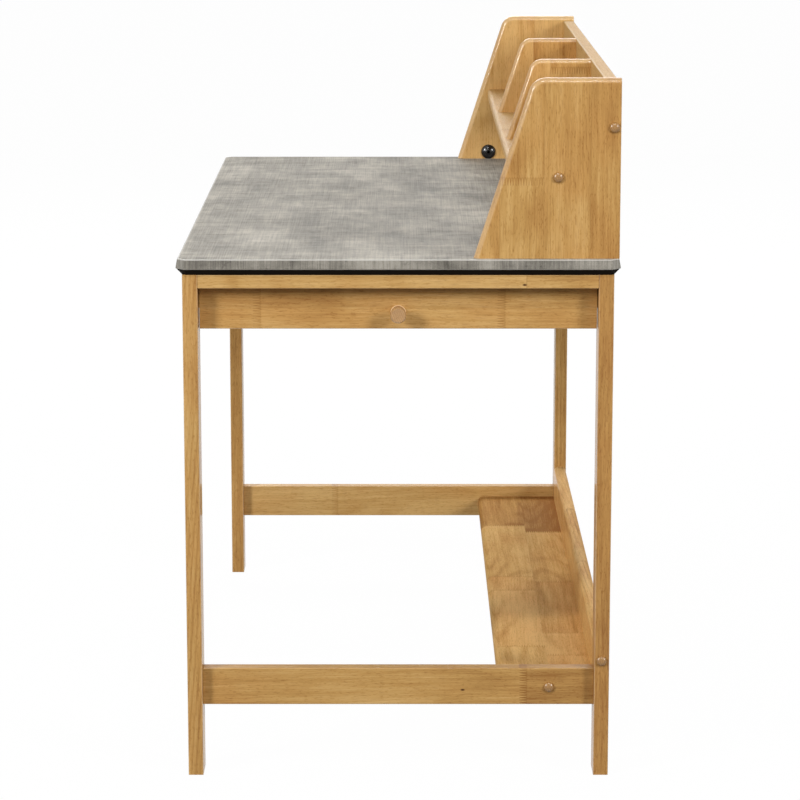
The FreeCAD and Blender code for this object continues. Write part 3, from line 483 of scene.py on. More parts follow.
# Boards that the photograph shows close enough to copy how they are glued up
SEEN_LAYOUTS = {
    "leg_front_right": Layout("Z", "X", tones=((0.50,),), polished="Y"),
    "leg_back_right": Layout("Z", "X", tones=((0.72,),), polished="Y"),
    "leg_front_left": Layout("Z", "X", tones=((0.60,),), polished="Y"),
    "leg_back_left": Layout("Z", "X", tones=((0.52,),), polished="Y"),
    "upper_rail_right": Layout(
        "Y", "Z", joints=((0.82,),), tones=((0.34, 0.40),), knots=((0.815, 0.28, 0.0018),), fingered=False,
        butt_joint_and_shade=True, edge_shine=0.4,
    ),
    "drawer_front": Layout("Y", "Z", joints=((0.145, 0.76),), tones=((0.56, 0.42, 0.52),)),
    "lower_rail_right": Layout(
        "Y", "Z", joints=((0.82,),), tones=((0.48, 0.78),), knots=((0.665, 0.4, 0.0018),), butt_joint_and_shade=True,
        edge_shine=0.4,
    ),
    "lower_rail_left": Layout(
        "Y", "Z", joints=((0.295,),), tones=((0.26, 0.32),), butt_joint_and_shade=True, edge_shine=0.3
    ),
    # The lower shelf's lightness is painted light: it is made paler to make up for the worktop's shadow
    "lower_shelf": Layout(
        "X", "Y", seams=(0.55,), joints=((0.195, 0.50, 0.575, 0.86), (0.235, 0.53, 0.795, 0.9)),
        tones=((0.80, 0.42, 0.38, 0.24, 0.30), (1.00, 0.44, 0.36, 0.20, 0.30)),
        shine=0.036, edge_shine=0.0, lightness=1.13, glue=0.12,
    ),
    "shelf_fence": Layout(
        "X", "Z", joints=((0.3, 0.62),), tones=((0.34, 0.46, 0.40),), shine=0.15, edge_shine=0.0,
        polished="Y", lightness=1.2, glue=0.12,
    ),
    "hutch_side_right": Layout(
        "Z", "Y", seams=(0.175, 0.477, 0.797), joints=((), (0.43,), (), ()),
        tones=((0.50,), (0.48, 0.54), (0.50,), (0.54,)), shine=0.4, edge_shine=0.7,
    ),
    "hutch_side_left": Layout(
        "Z", "Y", seams=(0.30, 0.66), joints=((), (), ()), tones=((0.20,), (0.32,), (0.26,)), shine=0.4,
        edge_shine=0.7,
    ),
    "hutch_divider_right": Layout(
        "Z", "Y", seams=(0.52,), joints=((), (0.86,)), tones=((0.44,), (0.42, 0.50)), shine=0.4,
        edge_shine=0.7,
    ),
    "hutch_divider_left": Layout(
        "Z", "Y", seams=(0.45,), joints=((), (0.5,)), tones=((0.38,), (0.56, 0.46)), shine=0.4,
        edge_shine=0.7,
    ),
    "hutch_shelf": Layout(
        "X", "Y", seams=(0.36, 0.70), joints=((0.24, 0.56, 0.86), (0.14, 0.44, 0.74), (0.32, 0.62)),
        tones=((0.14, 0.08, 0.14, 0.10), (0.20, 0.12, 0.20, 0.14), (0.24, 0.16, 0.24)),
        shine=0.2, edge_shine=0.25, lightness=0.92,
    ),
    "hutch_back": Layout(
        "X", "Z", seams=(0.36, 0.70), joints=((0.18, 0.52, 0.80), (0.30, 0.64), (0.45,)),
        tones=((0.40, 0.50, 0.36, 0.46), (0.48, 0.38, 0.52), (0.08, 0.10)),
        shine=0.12, edge_shine=0.4, lightness=0.84,
    ),
}


class BlockPattern:
    """Which block of a glued-up board a point lies in, as shader values."""

    # How far apart the numbers of two staves' first blocks are
    stave_step = 11
    # How much deeper the teeth of a finger joint are on the side of its second block
    comb_contrast = 0.18
    # Half widths of glue lines, and of the painted crevice shade at a board's ends: at joints as shares
    # of a finger's length, elsewhere of a finger's width
    fingered_line = 0.2
    straight_line = 0.09
    seam_line = 0.12
    end_shade_line = 0.35

    def __init__(self, shader, layout, low, high, place):
        timber = bpy.context.scene.desk_timber
        self.low = low
        self.high = high
        across = place[layout.across]
        pitch = timber.finger_pitch
        length = timber.finger_length
        reach = place[layout.grain]
        if layout.fingered:
            # The comb's teeth have flat tips, so the zigzag is stretched and then clipped
            zigzag = (across / pitch).math("PINGPONG", 0.5).math("MULTIPLY_ADD", 2.8, -0.2, use_clamp=True)
            reach = reach + (zigzag - 0.5) * length
        seams = [self.spot(layout.across, share) for share in layout.seams]
        steps = [across > seam for seam in seams]
        # The tone and number of the block, and how far its stave's nearest joint is, 1 m if it has none
        self.tone = 0
        self.number = 0
        joint_gap = 0
        for i, (places, tones) in enumerate(zip(layout.joints, layout.tones)):
            inside = 1 if i == 0 else steps[i - 1]
            if i < len(steps):
                inside = inside - steps[i]
            tone = tones[0]
            number = (i + 1) * self.stave_step
            gap = 1
            for share, before, after in zip(places, tones, tones[1:]):
                joint = self.spot(layout.grain, share)
                beyond = reach > joint
                tone = tone + beyond * (after - before)
                number = number + beyond
                if layout.fingered:
                    comb = 1 - abs(place[layout.grain] - joint).rise(length * 0.45, length * 0.6)
                    tone = tone + comb * beyond * self.comb_contrast
                distance = abs(reach - joint)
                gap = distance if isinstance(gap, int) else gap.least(distance)
            self.tone = self.tone + inside * tone
            self.number = self.number + inside * number
            joint_gap = joint_gap + inside * gap
        self.lines = 0
        if isinstance(joint_gap, Signal):
            line = self.fingered_line if layout.fingered else self.straight_line
            self.lines = 1 - joint_gap.rise(0.0, length * line)
        for seam in seams:
            self.lines = self.lines + (1 - abs(across - seam).rise(0.0, pitch * self.seam_line))
        # Dark lines at both ends: a joint line, with painted shade of the crevice where the board meets a leg
        if layout.butt_joint_and_shade:
            for share in (0, 1):
                gap = abs(place[layout.grain] - self.spot(layout.grain, share))
                self.lines = self.lines + (1 - gap.rise(0.0, pitch * self.end_shade_line))

    def spot(self, axis, share):
        """A place on one axis from its share of the board."""
        i = AXES.index(axis)
        return self.low[i] + (self.high[i] - self.low[i]) * share


def timber_material(node, layout, seed, pale=None, golden=None):
    """Lacquered timber for one board: blocks, rings, streaks, pores, glue lines and knots."""
    timber = bpy.context.scene.desk_timber
    low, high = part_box(node)
    shader = Shader(node + "_timber")
    place = shader.place()
    blocks = BlockPattern(shader, layout, low, high, place)
    along, across, through = (place[axis] for axis in (layout.grain, layout.across, layout.through))
    chance = shader.node(
        "TexWhiteNoise", {"W": blocks.number + seed * 17.3}, output="Color", noise_dimensions="1D"
    )
    turn, slide, pith = shader.split("Color", chance)

    # Each block has its own piece of the grain, a little slanted: a runs along the grain, c across it and
    # t through the board
    side = across - blocks.spot(layout.across, 0.5) + along * (turn - 0.5) * 0.06
    a = along + slide * 9
    t = through + turn * 3
    wobble = shader.noise((a * 6, (side + pith) * 22, t * 22), detail=2) - 0.5
    c = side + wobble * 0.004 + pith * 5

    # Rings round a pith that leans in the board, so that they run out as arches
    lean = (turn - 0.5) * 0.05 + (along - blocks.spot(layout.grain, 0.5)) * (slide - 0.5) * 0.22
    reach = shader.length(side + (pith - 0.5) * 0.06, lean + through * 1.2)
    fade = shader.noise((a * 4, c * 16, t * 16), detail=1).rise(0.38, 0.66)
    rings = (reach + wobble * 0.009).wave(timber.ring_gap) ** 2.5 * fade

    # Noise from the breadth of a board down to single fibres, by its repeats in a metre
    broad = shader.noise((a * 2.4, c * 34, t * 34), detail=1) - 0.5
    bands = shader.noise((a * 6, c * 120, t * 120), detail=2, roughness=0.55) - 0.5
    streaks = shader.noise((a * 14, c * 420, t * 420), detail=3, roughness=0.6) - 0.5
    fibres = shader.noise((a * 48, c * 1500, t * 1500), detail=1) - 0.5
    pores = shader.noise((a * 80, c * 1400, t * 1400), detail=0).rise(0.60, 0.74)
    vessels = shader.noise((a * 150, c * 600, t * 600), detail=1, roughness=0.6).rise(0.57, 0.70)
    mottle = shader.noise((a * 11, c * 18, t * 18), detail=2) - 0.5

    # The level runs from 0 for the palest timber to 1 for the deepest
    level = blocks.tone + broad * 0.55 + bands * 0.50 + streaks * 0.72 + rings * 0.26 - 0.07
    level = level + mottle * 0.34 + fibres * 0.36 + vessels * 0.22
    shades = [
        [part * layout.lightness for part in shade]
        for shade in (pale or timber.pale, golden or timber.golden, timber.deep)
    ]
    colour = shader.ramp(level, tuple(zip((0.08, 0.5, 1.0), shades)))
    colour = shader.mix(turn * 0.7 + mottle * 1.6 - 0.1, colour, timber.blush, "MULTIPLY")
    colour = shader.mix(pores * 0.26, colour, timber.pore)
    # Glue lines, and the painted crevice shade at the ends of a board with butt joint shade
    colour = shader.mix(blocks.lines * layout.glue, colour, timber.pore)
    for share_along, share_across, radius in layout.knots:
        reach_along = (along - blocks.spot(layout.grain, share_along)) * 0.5
        reach_across = across - blocks.spot(layout.across, share_across)
        spread = shader.length(reach_along, reach_across) + streaks * radius
        knot = 1 - spread.rise(radius * 0.3, radius * 1.2)
        colour = shader.mix(knot, colour, timber.knot)

    # The arrises round the board's broad faces get a painted highlight, a pale colour, and a glossy lacquer
    facing = shader.direction()
    lacquer = 0.0
    if layout.edge_shine:
        tilt = abs(facing[layout.through])
        arris = tilt.rise(0.04, 0.3) * (1 - tilt.rise(0.94, 0.9995))
        colour = shader.mix(arris * (timber.arris_highlight * layout.edge_shine), colour, timber.rim)
        lacquer = arris * (timber.edge_gloss * layout.edge_shine)
    if layout.polished:
        lacquer = (abs(facing[layout.polished]).rise(0.9, 0.99) * timber.face_gloss).most(lacquer)
    height = fibres * 0.5 - pores * 0.8 - blocks.lines * 0.5 + streaks * 0.5
    return shader.surface(
        Base_Color=colour,
        Roughness=timber.roughness + fibres * 0.2 + pores * 0.12 + streaks * 0.1,
        Specular_IOR_Level=timber.gloss * layout.shine,
        Coat_Weight=lacquer,
        Coat_Roughness=timber.edge_roughness,
        Coat_IOR=LACQUER_IOR,
        Normal=shader.bump(height, 0.3, 0.0002),
    )


def end_grain_material(name, seed, middle, coat_roughness, foot=None):
    """Lacquered timber that is cut across: speckled with the ends of its pores, with faint rings.

    A turned foot is given by where its rim and the waist beyond it end along X. The rim is painted pale
    as a highlight, and the waist is painted darker as shade.
    """
    timber = bpy.context.scene.desk_timber
    shader = Shader(name)
    x, y, z = shader.place().values()
    speckle = shader.noise((x * 90, y * 1500, z * 1500), detail=2, roughness=0.6) - 0.5
    pores = shader.noise((x * 60, y * 1100 + seed, z * 1100), detail=0).rise(0.60, 0.7)
    rings = (y + z * 0.4 + shader.noise((x * 20, y * 60, z * 60)) * 0.004).wave(timber.ring_gap * 0.4)
    level = speckle * 1.1 + rings * 0.16 + 0.42
    colour = shader.ramp(level, ((0.0, timber.pale), (0.5, middle), (1.0, timber.deep)))
    colour = shader.mix(pores * 0.45, colour, timber.pore)
    if foot:
        # Painted highlight on the foot's rim, and painted shade in the waist
        rim, waist = foot
        beyond_rim = x.rise(rim - 0.0006, rim + 0.0004)
        colour = shader.mix(1 - beyond_rim, colour, timber.rim)
        colour = shader.mix(beyond_rim * (1 - x.rise(waist - 0.002, waist)) * 0.75, colour, timber.pore)
    return shader.surface(
        Base_Color=colour,
        Roughness=timber.roughness + speckle * 0.2,
        Specular_IOR_Level=timber.gloss,
        Coat_Weight=0.65,
        Coat_Roughness=coat_roughness,
        Coat_IOR=LACQUER_IOR,
        Normal=shader.bump(speckle - pores, 0.2, 0.0002),
    )


def stone_material(node, shade, streak, lined):
    """Concrete-look laminate: cloudy patches under a fine linen of streaks both ways.

    The shade scales its colours, so that a shade below 1 paints the laminate darker as shade. The
    streak says how strong its upright streaks are. A lined node has a painted highlight line along its
    upper and lower edges.
    """
    stone = bpy.context.scene.desk_stone
    shader = Shader(node + "_stone")
    x, y, z = shader.place().values()

    # Noise from broad patches down to grit, by its repeats in a metre
    drift = shader.noise((x * 3, y * 3, z * 3), detail=3) * 0.6
    patches = shader.noise((x * 4.2 + drift, y * 6.5, z * 4), detail=4, roughness=0.6) - 0.5
    clouds = shader.noise((x * 13, y * 20 + drift, z * 13), detail=5, roughness=0.62) - 0.5
    wide_weft = shader.noise((x * 62, y * 6, z * 30), detail=3, roughness=0.62) - 0.5
    weft = shader.noise((x * 330, y * 10, z * 30), detail=3, roughness=0.6) - 0.5
    warp = shader.noise((x * 8, y * 430, z * 24), detail=3, roughness=0.62) - 0.5
    threads = (x.wave(stone.thread) + y.wave(stone.thread)) * 0.5 - 0.5
    grit = shader.noise((x * 600, y * 600, z * 600), detail=2) - 0.5
    rub_and_highlight = shader.noise((x * 44, y * 26, z * 90), detail=4, roughness=0.7).rise(0.54, 0.72)
    open_weave = shader.noise((x * 9, y * 14, z * 9), detail=2).rise(0.40, 0.62)
    weave = wide_weft * 0.7 + weft * 0.6 + warp * streak + threads * open_weave * 0.22
    scratches = shader.noise((x * 150, y * 46, z * 60), detail=3, roughness=0.65).rise(0.60, 0.70)
    level = patches * 1.35 + clouds * 1.5 + weave + grit * 0.5 + rub_and_highlight * 0.14 - scratches * 0.30 + 0.49
    colour = shader.ramp(level, ((0.05, stone.dark), (0.5, stone.middle), (0.95, stone.light)))
    colour = shader.mix(1.0, colour, (shade, shade, shade), "MULTIPLY")

    # Faces that are square to no axis are the rounded corners and corner facets: painted a little paler as
    # light, and painted as a highlight where they look up
    facing = shader.direction()
    square = abs(facing["X"]).most(abs(facing["Y"])).most(abs(facing["Z"]))
    corners = 1 - square.rise(0.80, 0.93)
    colour = shader.mix(corners * 0.12, colour, stone.rub_and_highlight)
    arris = corners * facing["Z"].rise(0.2, 0.5)
    # A painted highlight line along the upper and lower edges
    if lined:
        low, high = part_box(node)
        width = stone.line
        upper = z.rise(high.z - width, high.z - width * 0.5)
        lower = 1 - z.rise(low.z + width * 0.5, low.z + width)
        arris = arris.most(upper).most(lower * 0.6)
    # The painted highlight on the arrises, which are also lacquered glossy
    colour = shader.mix(arris * 0.6, colour, stone.rub_and_highlight)
    return shader.surface(
        Base_Color=colour,
        Roughness=stone.roughness + (weft + warp) * 0.2 + clouds * 0.15,
        Specular_IOR_Level=stone.gloss,
        Coat_Weight=arris * 0.4,
        Coat_Roughness=0.12,
        Normal=shader.bump(weft + warp + threads * 0.3 + grit * 0.4, 0.2, 0.0002),
    )


def paint_material(name):
    """Matt black paint on a fibre board."""
    fittings = bpy.context.scene.desk_fittings
    shader = Shader(name)
    x, y, z = shader.place().values()
    grain = shader.noise((x * 900, y * 900, z * 900), detail=3) - 0.5
    dust = shader.noise((x * 22, y * 22, z * 120), detail=4) - 0.5
    colour = shader.mix((dust + grain) * 0.5 + 0.15, fittings.paint, fittings.dust)
    return shader.surface(
        Base_Color=colour,
        Roughness=0.7 + grain * 0.3 + dust * 0.2,
        Specular_IOR_Level=0.03,
        Normal=shader.bump(grain, 0.3, 0.0001),
    )


def plastic_material(name):
    """Glossy moulded plastic with faint handling marks."""
    fittings = bpy.context.scene.desk_fittings
    shader = Shader(name)
    x, y, z = shader.place().values()
    haze = shader.noise((x * 160, y * 160, z * 160), detail=4, roughness=0.7)
    marks = shader.noise((x * 40, y * 900, z * 500), detail=1).rise(0.62, 0.7)
    colour = shader.mix(haze * 0.5, fittings.plastic, fittings.haze)
    return shader.surface(
        Base_Color=colour,
        Roughness=haze * 0.14 + marks * 0.08 + 0.07,
        Normal=shader.bump(haze, 0.05, 0.0001),
    )


def zinc_material(name):
    """Bright zinc plating with the faint bloom of small pressed parts."""
    fittings = bpy.context.scene.desk_fittings
    shader = Shader(name)
    x, y, z = shader.place().values()
    bloom = shader.noise((x * 240, y * 240, z * 240), detail=4, roughness=0.6)
    drawn = shader.noise((x * 1400, y * 300, z * 300), detail=2)
    colour = shader.mix(bloom, fittings.zinc, fittings.bloom)
    return shader.surface(
        Base_Color=colour,
        Metallic=1.0,
        Roughness=0.26 + bloom * 0.2 + drawn * 0.1,
        Normal=shader.bump(bloom + drawn, 0.12, 0.0001),
    )


def give(node, material):
    """Puts a material on a carried-over node."""
    nodes[node].material_slots[0].material = material


# Modelled pieces
def node_solids(node):
    """The low and high corners of each separate solid of a node."""
    mesh = bmesh.new()
    mesh.from_mesh(nodes[node].data)
    bmesh.ops.remove_doubles(mesh, verts=mesh.verts, dist=MERGE_DISTANCE)
    left = set(mesh.verts)
    solids = []
    while left:
        front = [left.pop()]
        spots = []
        while front:
            vert = front.pop()
            spots.append(vert.co.copy())
            near = {edge.other_vert(vert) for edge in vert.link_edges} & left
            left -= near
            front += near
        low, high = (Vector(pick(spot[i] for spot in spots) for i in range(3)) for pick in (min, max))
        solids.append((low, high))
    mesh.free()
    return solids


def spin_profile(mesh, profile, sides):
    """Turns a line of (radius, height) points round the Z axis."""
    spots = [mesh.verts.new((radius, 0, height)) for radius, height in profile]
    lines = [mesh.edges.new(pair) for pair in zip(spots, spots[1:])]
    bmesh.ops.spin(
        mesh, geom=spots + lines, axis=(0, 0, 1), cent=(0, 0, 0), steps=sides, angle=FULL_TURN, use_merge=True
    )
    bmesh.ops.remove_doubles(mesh, verts=mesh.verts, dist=MERGE_DISTANCE)


def dome_line(radius, low, high, steps):
    """Points of a quarter ellipse from its rim to its top."""
    turns = [math.pi / 2 * i / steps for i in range(steps + 1)]
    return [(radius * math.cos(turn), low + (high - low) * math.sin(turn)) for turn in turns]


# How much smaller a cross recess is at its bottom
RECESS_TAPER = 0.86


def recessed_head(mesh, profile, cells, depth):
    """Turns a profile that ends in a flat rim, and closes the rim with a cross recess.

    The rim is bridged to a square grid, five cells or a multiple of five on a side, whose middle fifths
    sink to the depth.
    """
    spin_profile(mesh, profile, cells * 4)
    rim_radius, level = profile[-1]
    rim = [edge for edge in mesh.edges if all(is_on_rim(vert, rim_radius, level) for vert in edge.verts)]
    before = set(mesh.verts)
    size = rim_radius * bpy.context.scene.desk_fittings.recess_share
    lift = Matrix.Translation((0, 0, level))
    bmesh.ops.create_grid(mesh, x_segments=cells, y_segments=cells, size=size, matrix=lift)
    grid = [vert for vert in mesh.verts if vert not in before]
    border = [edge for edge in mesh.edges if edge.is_boundary and all(vert in grid for vert in edge.verts)]
    bmesh.ops.bridge_loops(mesh, edges=rim + border)
    cross = []
    for face in mesh.faces:
        middle = face.calc_center_median()
        is_arm = min(abs(middle.x), abs(middle.y)) < size / 5
        if is_arm and all(vert in grid for vert in face.verts):
            cross.append(face)
    sunk = bmesh.ops.extrude_face_region(mesh, geom=cross)
    bottom = [item for item in sunk["geom"] if isinstance(item, bmesh.types.BMVert)]
    bmesh.ops.translate(mesh, verts=bottom, vec=(0, 0, -depth))
    bmesh.ops.scale(mesh, verts=bottom, vec=(RECESS_TAPER, RECESS_TAPER, 1))
    bmesh.ops.delete(mesh, geom=[face for face in cross if face.is_valid], context="FACES")


def is_on_rim(vert, radius, level):
    """Whether a point lies on the circle where a profile ends."""
    return max(abs(vert.co.z - level), abs(vert.co.xy.length - radius)) < MERGE_DISTANCE


def standing(spot, direction):
    """The move that stands a piece made along Z on a spot, pointing in a direction."""
    return Matrix.Translation(spot) @ Vector(direction).to_track_quat("Z", "Y").to_matrix().to_4x4()


def add_copies(whole, template, moves):
    """Adds a copy of the template to a mesh at each move. The template is used up."""
    source = bpy.data.meshes.new("template")
    template.to_mesh(source)
    template.free()
    for move in moves:
        before = len(whole.verts)
        whole.from_mesh(source)
        whole.verts.ensure_lookup_table()
        bmesh.ops.transform(whole, matrix=move, verts=whole.verts[before:])
    bpy.data.meshes.remove(source)
    return whole


def finish_piece(name, mesh, material, body, replaced):
    """Makes an object of the mesh, smooth but for its sharp edges, in place of a packed node."""
    bmesh.ops.recalc_face_normals(mesh, faces=mesh.faces)
    data = bpy.data.meshes.new(name)
    mesh.to_mesh(data)
    mesh.free()
    data.shade_smooth()
    data.set_sharp_from_angle(angle=SHARP_ANGLE)
    data.materials.append(material)
    piece = bpy.data.objects.new(name, data)
    bpy.context.scene.collection.objects.link(piece)
    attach(piece, body)
    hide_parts(replaced)


def side_of(value):
    """The sign of a coordinate."""
    return 1 if value > 0 else -1


class DeskStep:
    """What all the desk's operators have in common."""

    bl_options = {"REGISTER", "UNDO"}


class DressBoards(DeskStep):
    """What the operators that finish whole boards have in common."""

    # Each board with the axis of its grain, the axis across it, and the seed of its grain
    boards = ()

    def execute(self, context):
        for node, grain, across, seed in self.boards:
            draw = random.Random(seed)
            layout = SEEN_LAYOUTS.get(node) or glued_up(node, grain, across, draw)
            give(node, timber_material(node, layout, seed))
        return {"FINISHED"}


class DESK_OT_legs(DressBoards, Operator):
    """Finishes the four legs"""

    bl_idname = "desk.legs"
    bl_label = "Legs"
    boards = (
        ("leg_front_right", "Z", "X", 1),
        ("leg_back_right", "Z", "X", 2),
        ("leg_front_left", "Z", "X", 3),
        ("leg_back_left", "Z", "X", 4),
    )


class DESK_OT_rails(DressBoards, Operator):
    """Finishes the end rails above and below"""

    bl_idname = "desk.rails"
    bl_label = "End Rails"
    boards = (
        ("upper_rail_right", "Y", "Z", 5),
        ("upper_rail_left", "Y", "Z", 6),
        ("lower_rail_right", "Y", "Z", 7),
        ("lower_rail_left", "Y", "Z", 8),
    )


class DESK_OT_aprons(DressBoards, Operator):
    """Finishes the aprons and the brace under the worktop"""

    bl_idname = "desk.aprons"
    bl_label = "Aprons and Brace"
    boards = (
        ("end_apron_left", "Y", "Z", 9),
        ("long_apron_front", "X", "Z", 10),
        ("long_apron_back", "X", "Z", 11),
        ("cross_brace", "Y", "Z", 12),
    )


class DESK_OT_lower_shelf(DressBoards, Operator):
    """Finishes the lower shelf and the fence behind it"""

    bl_idname = "desk.lower_shelf"
    bl_label = "Lower Shelf"
    boards = (
        ("lower_shelf", "X", "Y", 13),
        ("shelf_fence", "X", "Z", 14),
    )


class DESK_OT_hutch(DressBoards, Operator):
    """Finishes the boards of the hutch"""

    bl_idname = "desk.hutch"
    bl_label = "Hutch"
    boards = (
        ("hutch_side_right", "Z", "Y", 15),
        ("hutch_side_left", "Z", "Y", 16),
        ("hutch_shelf", "X", "Y", 17),
        ("hutch_back", "X", "Z", 18),
        ("hutch_divider_right", "Z", "Y", 19),
        ("hutch_divider_left", "Z", "Y", 20),
    )


class DESK_OT_drawer_front(DressBoards, Operator):
    """Finishes the drawer's front"""

    bl_idname = "desk.drawer_front"
    bl_label = "Drawer Front"
    boards = (("drawer_front", "Y", "Z", 21),)


class DESK_OT_drawer_box(DeskStep, Operator):
    """Finishes the drawer's box and bottom, and the runners that carry it"""

    bl_idname = "desk.drawer_box"
    bl_label = "Drawer Box"

    def execute(self, context):
        timber = context.scene.desk_timber
        for node, grain, across, seed in (
            ("drawer_side_left", "X", "Z", 22),
            ("drawer_side_right", "X", "Z", 23),
            ("drawer_back", "Y", "Z", 24),
            ("drawer_bottom", "Y", "X", 25),
            ("drawer_runner_front", "X", "Z", 26),
            ("drawer_runner_back", "X", "Z", 27),
        ):
            whole = Layout(grain, across, tones=((0.4,),))
            give(node, timber_material(node, whole, seed, timber.box_pale, timber.box_golden))
        return {"FINISHED"}


class DESK_OT_knob(DeskStep, Operator):
    """Turns the drawer's knob, with a waist, a rounded rim and a speckled end-grain face"""

    bl_idname = "desk.knob"
    bl_label = "Knob"

    # Shares of the knob's radius and length, from the drawer's front to the middle of the face
    profile_shares = (
        (0.0, 0.0), (0.93, 0.0), (0.96, 0.02), (0.96, 0.07), (0.93, 0.105), (0.80, 0.14), (0.62, 0.22),
        (0.60, 0.31), (0.63, 0.40), (0.74, 0.49), (0.90, 0.58), (0.98, 0.68), (1.0, 0.80), (0.995, 0.88),
        (0.965, 0.945), (0.90, 0.985), (0.82, 0.995), (0.72, 0.985), (0.4, 0.978), (0.0, 0.975),
    )
    # Where the foot's rim and the waist end, as shares of the length
    foot_shares = (0.12, 0.54)
    sides = 48

    def execute(self, context):
        timber = context.scene.desk_timber
        low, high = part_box("drawer_knob")
        radius = (high.y - low.y) / 2
        length = high.x - low.x
        mesh = bmesh.new()
        spin_profile(mesh, [(r * radius, h * length) for r, h in self.profile_shares], self.sides)
        foot = (low + high) / 2
        foot.x = low.x
        bmesh.ops.transform(mesh, matrix=standing(foot, (1, 0, 0)), verts=mesh.verts)
        foot_ends = [low.x + share * length for share in self.foot_shares]
        material = end_grain_material(
            "knob_end_grain", 0.0, timber.knob_face, timber.edge_roughness, foot_ends
        )
        finish_piece("turned_knob", mesh, material, "drawer", "drawer_knob")
        return {"FINISHED"}


class DESK_OT_button_plugs(DeskStep, Operator):
    """Makes the domed button plugs over the bolts, each with a low rim and a stem"""

    bl_idname = "desk.button_plugs"
    bl_label = "Button Plugs"

    # The rim's share of the dome's height, and the stem's share of the dome's radius
    rim_share = 0.06
    stem_share = 0.7
    dome_steps = 10
    sides = 40

    def execute(self, context):
        timber = context.scene.desk_timber
        for node, boards in (
            ("frame_button_plugs", ("lower_rail_right", "leg_back_right")),
            ("hutch_button_plugs", ("hutch_side_right",)),
        ):
            faces = [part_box(board)[1].x for board in boards]
            moves = []
            for low, high in node_solids(node):
                sign = side_of(low.x)
                tip = high.x if sign > 0 else -low.x
                face = max(x for x in faces if x < tip)
                seat = (low + high) / 2
                seat.x = face * sign
                moves.append(standing(seat, (sign, 0, 0)))
                radius = (high.y - low.y) / 2
                height = tip - face
                depth = high.x - low.x - height
            rim = height * self.rim_share
            stem = radius * self.stem_share
            line = [(0, -depth), (stem, -depth), (stem, 0), (radius, 0)]
            mesh = bmesh.new()
            spin_profile(mesh, line + dome_line(radius, rim, height, self.dome_steps), self.sides)
            plugs = add_copies(bmesh.new(), mesh, moves)
            material = end_grain_material(node + "_end_grain", 3.0, timber.plug, timber.plug_roughness)
            finish_piece(node.replace("button", "domed"), plugs, material, "desk", node)
        return {"FINISHED"}


class DESK_OT_worktop(DeskStep, Operator):
    """Finishes the laminate, its edge band and the black core below"""

    bl_idname = "desk.worktop"
    bl_label = "Worktop"

    def execute(self, context):
        for node, shade, streak, lined in (
            ("worktop_laminate", 1.0, 1.0, False),
            # The edge band is the same laminate as the top; its shade of 0.72 is painted shade
            ("worktop_edge_band", 0.72, 1.1, True),
        ):
            give(node, stone_material(node, shade, streak, lined))
        give("worktop_core", paint_material("core_paint"))
        return {"FINISHED"}


class DESK_OT_connectors(DeskStep, Operator):
    """Makes the black domed connector housings at the foot of the hutch"""

    bl_idname = "desk.connectors"
    bl_label = "Hutch Connectors"

    # Shares of the housing's radius and of its dome's height, from the flange inwards, over a narrow groove
    dome_shares = (
        (1.0, 0.0), (1.0, 0.12), (0.97, 0.30), (0.91, 0.45), (0.83, 0.59), (0.73, 0.72), (0.62, 0.82),
        (0.56, 0.865), (0.53, 0.85), (0.50, 0.85), (0.47, 0.90), (0.38, 0.95), (0.28, 0.98),
    )
    recess_depth_share = 0.22
    cells = 10

    def execute(self, context):
        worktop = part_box("worktop_laminate")[1].z
        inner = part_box("hutch_side_right")[0].x
        moves = []
        for low, high in node_solids("hutch_connectors"):
            sign = side_of(low.x)
            radius = (high.y - low.y) / 2
            dome = inner - min(abs(low.x), abs(high.x))
            drum = high.x - low.x - dome
            seat = Vector((inner * sign, (low.y + high.y) / 2, high.z - radius))
            moves.append(standing(seat, (-sign, 0, 0)))
        line = [(0, -drum), (radius, -drum)]
        line += [(r * radius, h * dome) for r, h in self.dome_shares]
        mesh = bmesh.new()
        recessed_head(mesh, line, self.cells, dome * self.recess_depth_share)
        housings = add_copies(bmesh.new(), mesh, moves)
        # The flanges would reach a little below the worktop's face
        everything = housings.verts[:] + housings.edges[:] + housings.faces[:]
        cut = bmesh.ops.bisect_plane(
            housings, geom=everything, plane_co=(0, 0, worktop), plane_no=(0, 0, -1), clear_outer=True
        )
        open_edges = [item for item in cut["geom_cut"] if isinstance(item, bmesh.types.BMEdge)]
        bmesh.ops.edgeloop_fill(housings, edges=open_edges)
        material = plastic_material("connector_plastic")
        finish_piece("connector_housings", housings, material, "desk", "hutch_connectors")
        return {"FINISHED"}


class DESK_OT_cams(DeskStep, Operator):
    """Makes the cam drums in the long aprons, each with a cross recess"""

    bl_idname = "desk.cams"
    bl_label = "Cam Fittings"

    # Shares of the drum's radius for its chamfer and its face's rim, and of its depth for the recess
    chamfer_share = 0.06
    rim_share = 0.8
    recess_depth_share = 0.35
    cells = 5

    def execute(self, context):
        moves = []
        for low, high in node_solids("apron_cams"):
            sign = side_of(low.y)
            radius = (high.x - low.x) / 2
            depth = high.y - low.y
            seat = (low + high) / 2
            seat.y = low.y if sign > 0 else high.y
            moves.append(standing(seat, (0, -sign, 0)))
        chamfer = radius * self.chamfer_share
        line = [(0, -depth), (radius, -depth), (radius, -chamfer), (radius - chamfer, 0)]
        line.append((radius * self.rim_share, 0))
        mesh = bmesh.new()
        recessed_head(mesh, line, self.cells, depth * self.recess_depth_share)
        material = zinc_material("cam_zinc")
        drums = add_copies(bmesh.new(), mesh, moves)
        finish_piece("cam_drums", drums, material, "desk", "apron_cams")
        return {"FINISHED"}


